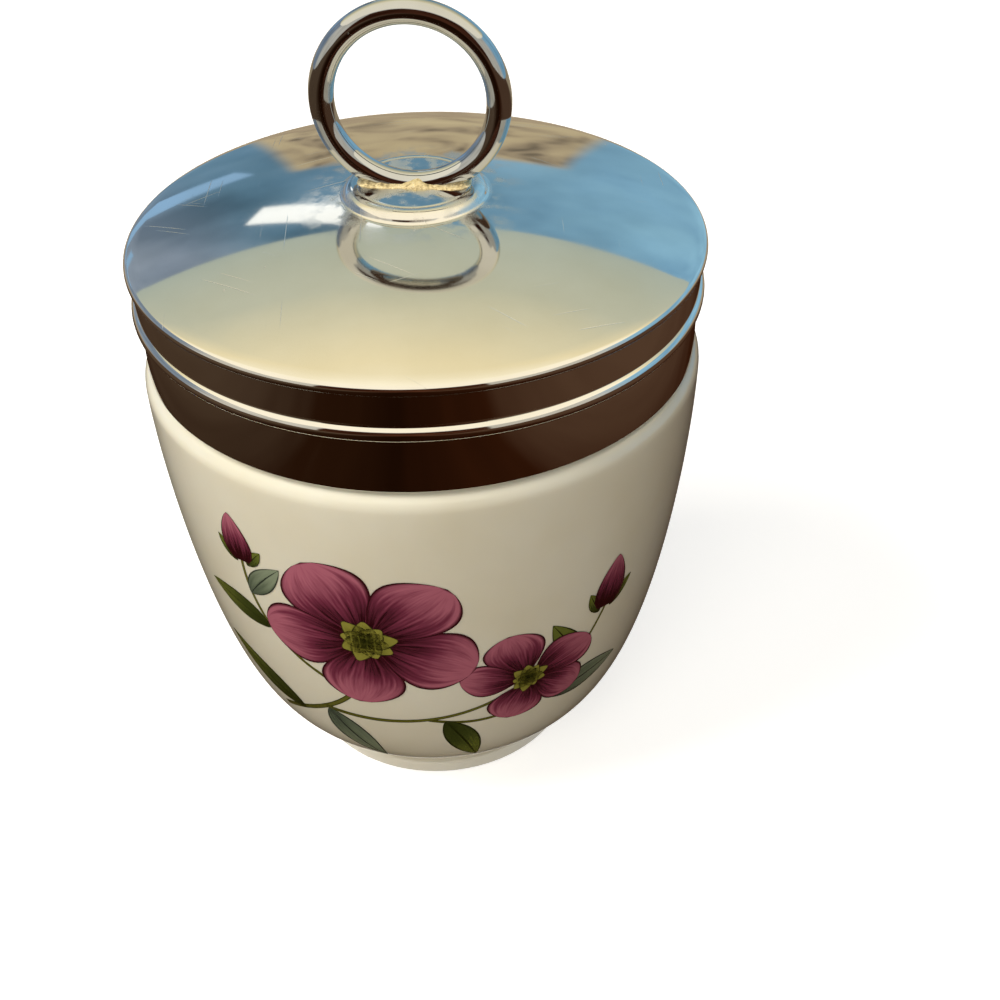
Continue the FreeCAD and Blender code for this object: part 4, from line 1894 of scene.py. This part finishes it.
@dataclass
class FloralPrint:
    """The printed spray: small open blossoms and buds with paired leaves on one arching stem."""

    cup: bpy.types.Object
    girth: float = 31.0
    lift: float = 0.02

    def blossoms(self) -> list[Blossom]:
        """The blossoms of the front spray."""
        return [
            Blossom(
                place=(-3.6, 35.4), petal_length=12.6, petal_width=12.2, turn_deg=12, squash=0.9, lean_deg=14,
            ),
            Blossom(
                place=(15.4, 26.4), petal_length=9.0, petal_width=8.8, turn_deg=40, squash=0.8, lean_deg=-24,
                seed=9,
            ),
        ]

    def build(self, inks: dict[str, bpy.types.Material]) -> list[bpy.types.Object]:
        """Make the print on the cup's side.

        Args:
            inks: The print's materials by name: petal, leaf, sage, stem and eye.

        Returns:
            The printed pieces, each wrapped on the cup.
        """
        wheel = wheel_tree(inks["petal"])
        flat: dict[str, list[bpy.types.Object]] = {ink: [] for ink in inks}
        for number, blossom in enumerate(self.blossoms()):
            flat["petal"].append(blossom.build(f"blossom_{number}", wheel))
            self.add_eye(flat["eye"], blossom, number)
        self.add_greens(flat)
        self.add_back_sprig(flat, wheel)
        made = []
        for ink, pieces in flat.items():
            sheet = join(f"print_{ink}", pieces)
            tree = wrap_tree(inks[ink])
            made.append(run_tree(sheet, tree, {
                "Cup": self.cup, "Girth Radius": self.girth * MM, "Lift": self.lift * MM,
            }))
        return made

    def add_eye(self, pieces: list[bpy.types.Object], blossom: Blossom, number: int) -> None:
        """Add a blossom's centre, a ring of short stubby tufts.

        Args:
            pieces: The pieces in the centre's ink, which gains them.
            blossom: The blossom.
            number: Its number, which turns the tufts.
        """
        size = blossom.petal_length * 0.3
        tufts = 9
        for tuft in range(tufts):
            length = size * (0.9 + 0.12 * math.sin(2.1 * tuft))
            pieces.append(flat_shape(
                f"eye_{number}_{tuft}", LeafForm.BUD, length, size * 0.8, place=blossom.place,
                turn_deg=360 / tufts * tuft + 9 * number, layer=EYE_LAYER, tone=(tuft * 0.37) % 1,
            ))

    def add_leaves(
        self, flat: dict[str, list[bpy.types.Object]], name: str, leaves: Sequence[tuple]
    ) -> None:
        """Add leaves, each a little over the one before it.

        Args:
            flat: The flat pieces by ink, which gains them.
            name: The start of their names.
            leaves: Ink, root, length, width, turn, bend and tone of each.
        """
        for number, (ink, place, length, width, turn, bend, tone) in enumerate(leaves):
            flat[ink].append(flat_shape(
                f"{name}_{number}", LeafForm.LEAF, length, width, bend=bend, place=place, turn_deg=turn,
                layer=LEAF_LAYER + LEAF_STEP * number, tone=tone,
            ))

    def add_greens(self, flat: dict[str, list[bpy.types.Object]]) -> None:
        """Add the front spray's stems, leaves and buds.

        Args:
            flat: The flat pieces by ink, which gains them.
        """
        flat["stem"] += [
            stem_shape("main_stem", [(-20.4, 15.6), (-10.8, 19.8), (-3.6, 24.6), (-4.2, 34.2)], 0.9, 0.0),
            stem_shape("side_stem", [(-11.4, 20.4), (-3, 19.4), (8.4, 20.4), (15, 25.8)], 0.75, 0.004),
            stem_shape("bud_stem", [(2.5, 20.7), (11, 18), (20.4, 19.8), (25.8, 33.6)], 0.6, 0.002),
            stem_shape("high_stem", [(-6, 25.2), (-14.4, 28.2), (-18.6, 34.2), (-18, 43.2)], 0.6, 0.002),
        ]
        flat["petal"] += [
            flat_shape(
                "bud_right", LeafForm.BUD, 7.7, 4.8, place=(25.7, 33.2), turn_deg=-8, layer=BUD_LAYER,
                tone=0.35,
            ),
            flat_shape(
                "bud_left", LeafForm.BUD, 6.7, 4.3, place=(-18, 42.8), turn_deg=6, layer=BUD_LAYER, tone=0.6,
            ),
        ]
        leaves = [
            ("leaf", (-15.6, 17.6), 13.8, 5.0, 62, 1.6, 0.2),
            ("sage", (-11, 20.2), 12.6, 5.3, -158, -1.4, 0.7),
            ("leaf", (4.8, 20.2), 11.4, 4.6, -150, 1.2, 0.5),
            ("sage", (19, 20.3), 12.0, 4.8, -78, 1.5, 0.4),
            ("leaf", (22.7, 25.2), 10.3, 3.6, 22, -1.0, 0.9),
            ("leaf", (-16.1, 33), 10.1, 3.8, 70, -1.2, 0.3),
            ("sage", (-17.9, 37.8), 7.9, 3.1, -35, 0.8, 0.8),
            ("leaf", (24.7, 32.8), 4.3, 1.8, 28, 0.2, 0.3),
            ("leaf", (26.4, 32.8), 4.6, 1.8, -44, 0.2, 0.6),
            ("leaf", (-18.7, 42.4), 3.8, 1.7, 42, 0.2, 0.3),
            ("leaf", (-17.3, 42.4), 3.8, 1.7, -36, 0.2, 0.6),
        ]
        self.add_leaves(flat, "leaf", leaves)

    def add_back_sprig(
        self, flat: dict[str, list[bpy.types.Object]], wheel: bpy.types.GeometryNodeTree
    ) -> None:
        """Add a smaller sprig on the far side of the cup.

        Args:
            flat: The flat pieces by ink, which gains them.
            wheel: The tree that sets petals round a centre.
        """
        far = math.pi * self.girth
        blossom = Blossom(
            place=(far, 33.0), petal_length=7.6, petal_width=7.4, turn_deg=-20, squash=0.85, seed=21,
        )
        flat["petal"].append(blossom.build("blossom_far", wheel))
        self.add_eye(flat["eye"], blossom, 5)
        flat["stem"] += [
            stem_shape("far_stem", [(far + 10, 18), (far + 6, 22), (far + 1, 25), (far, 32)], 0.8, 0.0),
            stem_shape(
                "far_bud_stem", [(far + 4, 23), (far - 4, 22), (far - 9, 25), (far - 11, 31)], 0.6, 0.002,
            ),
        ]
        flat["petal"].append(flat_shape(
            "far_bud", LeafForm.BUD, 5.4, 3.5, place=(far - 11, 30.6), turn_deg=14, layer=BUD_LAYER, tone=0.5,
        ))
        leaves = [
            ("leaf", (far + 8.5, 19.4), 9.0, 3.6, -60, 1.2, 0.3),
            ("sage", (far + 6.4, 21.4), 8.6, 3.4, 140, 1.0, 0.7),
            ("leaf", (far - 4.5, 22.6), 7.6, 3.0, 168, -1.0, 0.5),
            ("sage", (far - 8.6, 25.6), 6.8, 2.6, 80, -0.8, 0.4),
        ]
        self.add_leaves(flat, "far_leaf", leaves)


# The studio


@dataclass
class Studio:
    """Pale floor, soft lamps, cards that only mirrors see, and the camera."""

    camera_mm: tuple[float, float, float] = (21.35, -142.03, 143.65)
    pitch: float = 0.6653
    yaw: float = -0.089
    roll: float = -0.0177
    lens: float = 51.63
    fill_level: float = 0.3
    floor_size: float = 8.0
    floor_glow: float = 0.56
    table_inner: float = 0.0186
    wall_away: float = 1.05
    wall_aside: float = 1.25
    wall_top: float = 0.83
    pane_away: float = 0.92
    lid_height: float = 0.07
    aim_height: float = 0.04

    def build(self) -> None:
        """Make all of it."""
        self.world()
        self.floor()
        self.cards()
        self.lamps()
        self.camera()
        bpy.context.scene.view_settings.view_transform = "Standard"

    def background(self, tree: bpy.types.NodeTree) -> bpy.types.NodeSocket:
        """Find the rays that should meet the plain pale background.

        Args:
            tree: The tree to add to.

        Returns:
            1 for camera, mirror and see-through rays, and 0 for others.
        """
        path = add(tree, "ShaderNodeLightPath").outputs
        first = add(tree, "ShaderNodeMath", {
            0: path["Is Camera Ray"], 1: path["Is Glossy Ray"],
        }, operation="ADD").outputs[0]
        both = add(tree, "ShaderNodeMath", {0: first, 1: path["Is Transmission Ray"]}, operation="ADD")
        return add(tree, "ShaderNodeMath", {0: both.outputs[0], 1: 1.0}, operation="MINIMUM").outputs[0]

    def world(self) -> None:
        """A white world to the camera, and a soft even fill to the object."""
        world = bpy.data.worlds.new("pale_studio")
        bpy.context.scene.world = world
        world.use_nodes = True
        tree = world.node_tree
        tree.nodes.clear()
        seen = self.background(tree)
        level = add(tree, "ShaderNodeMapRange", {"Value": seen, "To Min": self.fill_level, "To Max": 1.0})
        sky = add(tree, "ShaderNodeBackground", {
            "Color": srgb("#FFFFFF"), "Strength": level.outputs["Result"],
        })
        add(tree, "ShaderNodeOutputWorld", {"Surface": sky.outputs[0]})

    def floor(self) -> None:
        """A plain pale floor that keeps the object's shadow."""
        bpy.ops.mesh.primitive_plane_add(size=self.floor_size)
        floor = bpy.context.object
        floor.name = "studio_floor"
        material, tree = empty_material("pale_floor_paper")
        paper = add(tree, "ShaderNodeBsdfDiffuse", {"Color": srgb("#F4F4F2")})
        glow = add(tree, "ShaderNodeEmission", {"Color": srgb("#FFFFFF"), "Strength": self.floor_glow})
        lit = add(tree, "ShaderNodeAddShader", {0: paper.outputs[0], 1: glow.outputs[0]})
        bounce = add(tree, "ShaderNodeBsdfDiffuse", {"Color": srgb("#978A78")})
        shown = add(tree, "ShaderNodeMixShader", {
            "Fac": self.background(tree), 1: bounce.outputs[0], 2: lit.outputs[0],
        })
        add(tree, "ShaderNodeOutputMaterial", {"Surface": shown.outputs[0]})
        floor.data.materials.append(material)

    def hide_card(self, card: bpy.types.Object, material: bpy.types.Material) -> None:
        """Give a card its material and leave it to mirror rays alone.

        Args:
            card: The card.
            material: Its material.
        """
        card.data.materials.append(material)
        card.visible_camera = False
        card.visible_diffuse = False
        card.visible_shadow = False
        card.visible_transmission = False

    def direction(self, bearing_deg: float, rise_deg: float, away: float) -> tuple[float, float, float]:
        """A place seen from the lid.

        Args:
            bearing_deg: Its bearing, 0 at the back and 90 to the right.
            rise_deg: Its rise over the lid's height.
            away: Its distance in metres.

        Returns:
            The place.
        """
        bearing, rise = math.radians(bearing_deg), math.radians(rise_deg)
        return (
            away * math.cos(rise) * math.sin(bearing),
            away * math.cos(rise) * math.cos(bearing),
            self.lid_height + away * math.sin(rise),
        )

    def panel(self, name: str, corners: Sequence[tuple], material: bpy.types.Material) -> None:
        """Make a flat card.

        Args:
            name: Its name.
            corners: Its four corners in metres, in order.
            material: Its material.
        """
        mesh = bpy.data.meshes.new(name)
        mesh.from_pydata(corners, [], [(0, 1, 2, 3)])
        self.hide_card(new_object(name, mesh), material)

    def cards(self) -> None:
        """Cards all round: dark at table level, bands on the walls, cream overhead and lit panes."""
        edges = (self.table_inner, 2 * self.wall_away)
        table = revolve("table_card", [(radius / MM, 1.0) for radius in edges], 96, closed=False)
        self.hide_card(table, StudioTable().build())
        wall = StudioWall().build()
        far, side, top = self.wall_away, self.wall_aside, self.wall_top
        round_room = [(-side, far), (side, far), (side, -far), (-side, -far)]
        for number, (first, second) in enumerate(zip(round_room, round_room[1:] + round_room[:1])):
            self.panel(f"wall_card_{number}", [
                (*first, 0.0), (*second, 0.0), (*second, top), (*first, top),
            ], wall)
        self.panel("ceiling_card", [(x, y, top) for x, y in round_room], StudioCard(
            "cream_ceiling_card", {
                0.0: "#A6B0A6", 0.3: "#BBBDAA", 0.52: "#EADDB6", 0.68: "#FFF6DC", 1.0: "#FFF6E2",
            }, axis="Y", start=far, end=-0.3, mottle=0.06, strength=1.32,
        ).build())
        white = StudioCard("white_pane_card", {0.0: "#F2FBFF", 1.0: "#FFFFFF"}, strength=1.4).build()
        pale = StudioCard("pale_pane_card", {0.0: "#98C2EA", 1.0: "#CFE2F4"}, axis="X").build()
        panes = (
            ("lit_pane", white, ((-24, 23.5), (-12, 30), (-13, 36), (-27, 26.5))),
            ("pale_pane", pale, ((-47, 8), (-23, 9), (-22, 12), (-45, 13))),
            ("side_pane", pale, ((-54, 14), (-38, 17), (-38, 19.5), (-54, 18))),
        )
        for name, material, places in panes:
            self.panel(name, [self.direction(*place, self.pane_away) for place in places], material)

    def lamp(self, name: str, place: Vector, size: float, power: float, colour: str) -> None:
        """Make a square soft lamp, aimed at the middle of the cup.

        Args:
            name: Its name.
            place: Its place in metres.
            size: Its side in metres.
            power: Its power in watts.
            colour: Its hex colour.
        """
        data = bpy.data.lights.new(name, "AREA")
        data.size = size
        data.energy = power
        data.color = srgb(colour)[:3]
        lamp = bpy.data.objects.new(name, data)
        lamp.location = place
        aim = Vector((0, 0, self.aim_height)) - place
        lamp.rotation_euler = aim.to_track_quat("-Z", "Y").to_euler()
        lamp.visible_glossy = False
        bpy.context.scene.collection.objects.link(lamp)

    def lamps(self) -> None:
        """A soft key from the left, and a weaker fill from the front."""
        self.lamp("key_softbox", Vector((-0.45, -0.2, 0.62)), 0.35, 4.2, "#FFF9EF")
        self.lamp("fill_softbox", Vector((-0.08, -0.62, 0.42)), 0.5, 2.5, "#FFF7EA")

    def camera(self) -> None:
        """The camera, at the photograph's place and angle."""
        data = bpy.data.cameras.new("camera")
        data.lens = self.lens
        data.sensor_width = 36.0
        data.clip_start = 0.005
        data.clip_end = 20.0
        camera = bpy.data.objects.new("camera", data)
        forward = Vector((
            math.sin(self.yaw) * math.cos(self.pitch),
            math.cos(self.yaw) * math.cos(self.pitch),
            -math.sin(self.pitch),
        ))
        right = Vector((math.cos(self.yaw), -math.sin(self.yaw), 0))
        up = right.cross(forward)
        across = math.cos(self.roll) * right + math.sin(self.roll) * up
        upward = -math.sin(self.roll) * right + math.cos(self.roll) * up
        turn = Matrix((across, upward, -forward)).transposed()
        camera.matrix_world = Matrix.Translation(Vector(self.camera_mm) * MM) @ turn.to_4x4()
        bpy.context.scene.collection.objects.link(camera)
        bpy.context.scene.camera = camera


def dress(piece: bpy.types.Object, body: Body, node: str | None = None) -> None:
    """Attach a piece to the body that moves it, and hide the CAD node that it stands for, if any.

    Args:
        piece: The piece.
        body: The body that moves it.
        node: The CAD node that it replaces, if any.
    """
    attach(piece, body.value)
    if node:
        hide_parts(node)
    LOG.info("%s: %d faces, rides on %s", piece.name, len(piece.data.polygons), body.value)


def make_inks() -> dict[str, bpy.types.Material]:
    """Make the print's colours.

    Returns:
        The materials by the part of the plant that they draw.
    """
    return {
        "stem": TransferPrint("print_stem_olive", "#4C4E1A", "#5F6026", "#66672E", "#34350F",
                              veins=0.3, edge_share=0.22).build(),
        "leaf": TransferPrint("print_leaf_olive", "#27300E", "#404B1E", "#66702F", "#1F260A",
                              veins=0.8, vein_count=5, midrib=0.05).build(),
        "sage": TransferPrint("print_leaf_sage", "#414C40", "#66735F", "#84917A", "#2F3930",
                              veins=0.7, vein_count=5, midrib=0.045).build(),
        "petal": TransferPrint("print_petal_rose", "#2E0810", "#743047", "#AE6478", "#3A0E17",
                               veins=1.0, vein_count=11, edge_share=0.055, spread=(0.27, 0.6, 0.95)).build(),
        "eye": TransferPrint("print_eye_olive", "#3E4115", "#6C6A26", "#8C8A3C", "#2E2C10",
                             veins=0.5, vein_count=4, edge_share=0.12).build(),
    }


def main() -> None:
    """Build the coddler piece by piece, then the studio."""
    logging.basicConfig(level=logging.INFO, format="%(name)s %(message)s")
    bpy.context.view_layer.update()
    glaze = GlazedPorcelain().build()
    lid_plate = PolishedPlate(bloom_radius_mm=8.0).build()
    ring_plate = PolishedPlate(
        name="polished_plated_wire", colour="#C6C9CA", cloudy="#B2B2AE",
        hair_length_mm=5.0, pit_spacing_mm=2.6,
    ).build()
    ridge = thread_tree(glaze)

    cup_maker = Cup()
    cup = cup_maker.build(glaze, ridge)
    dress(cup, Body.CUP, "cup")
    for sheet in FloralPrint(cup).build(make_inks()):
        dress(sheet, Body.CUP)

    lid = Lid()
    dress(lid.build_shell(lid_plate), Body.LID, "lid_shell")
    liner = lid.build_liner(RolledLinerMetal().build(), ridge, cup_maker.thread_start())
    dress(liner, Body.LID, "thread_liner")
    dress(lid.build_seal(SealRubber().build()), Body.SEAL, "lid_seal")

    handle = Handle(lid)
    dress(handle.build_disc(lid_plate), Body.LID, "handle_boss")
    dress(handle.build_ring(ring_plate), Body.LID, "ring_handle")
    dress(handle.build_seam(BrazeAlloy().build()), Body.LID, "handle_braze")

    Studio().build()


if __name__ == "__main__":
    main()
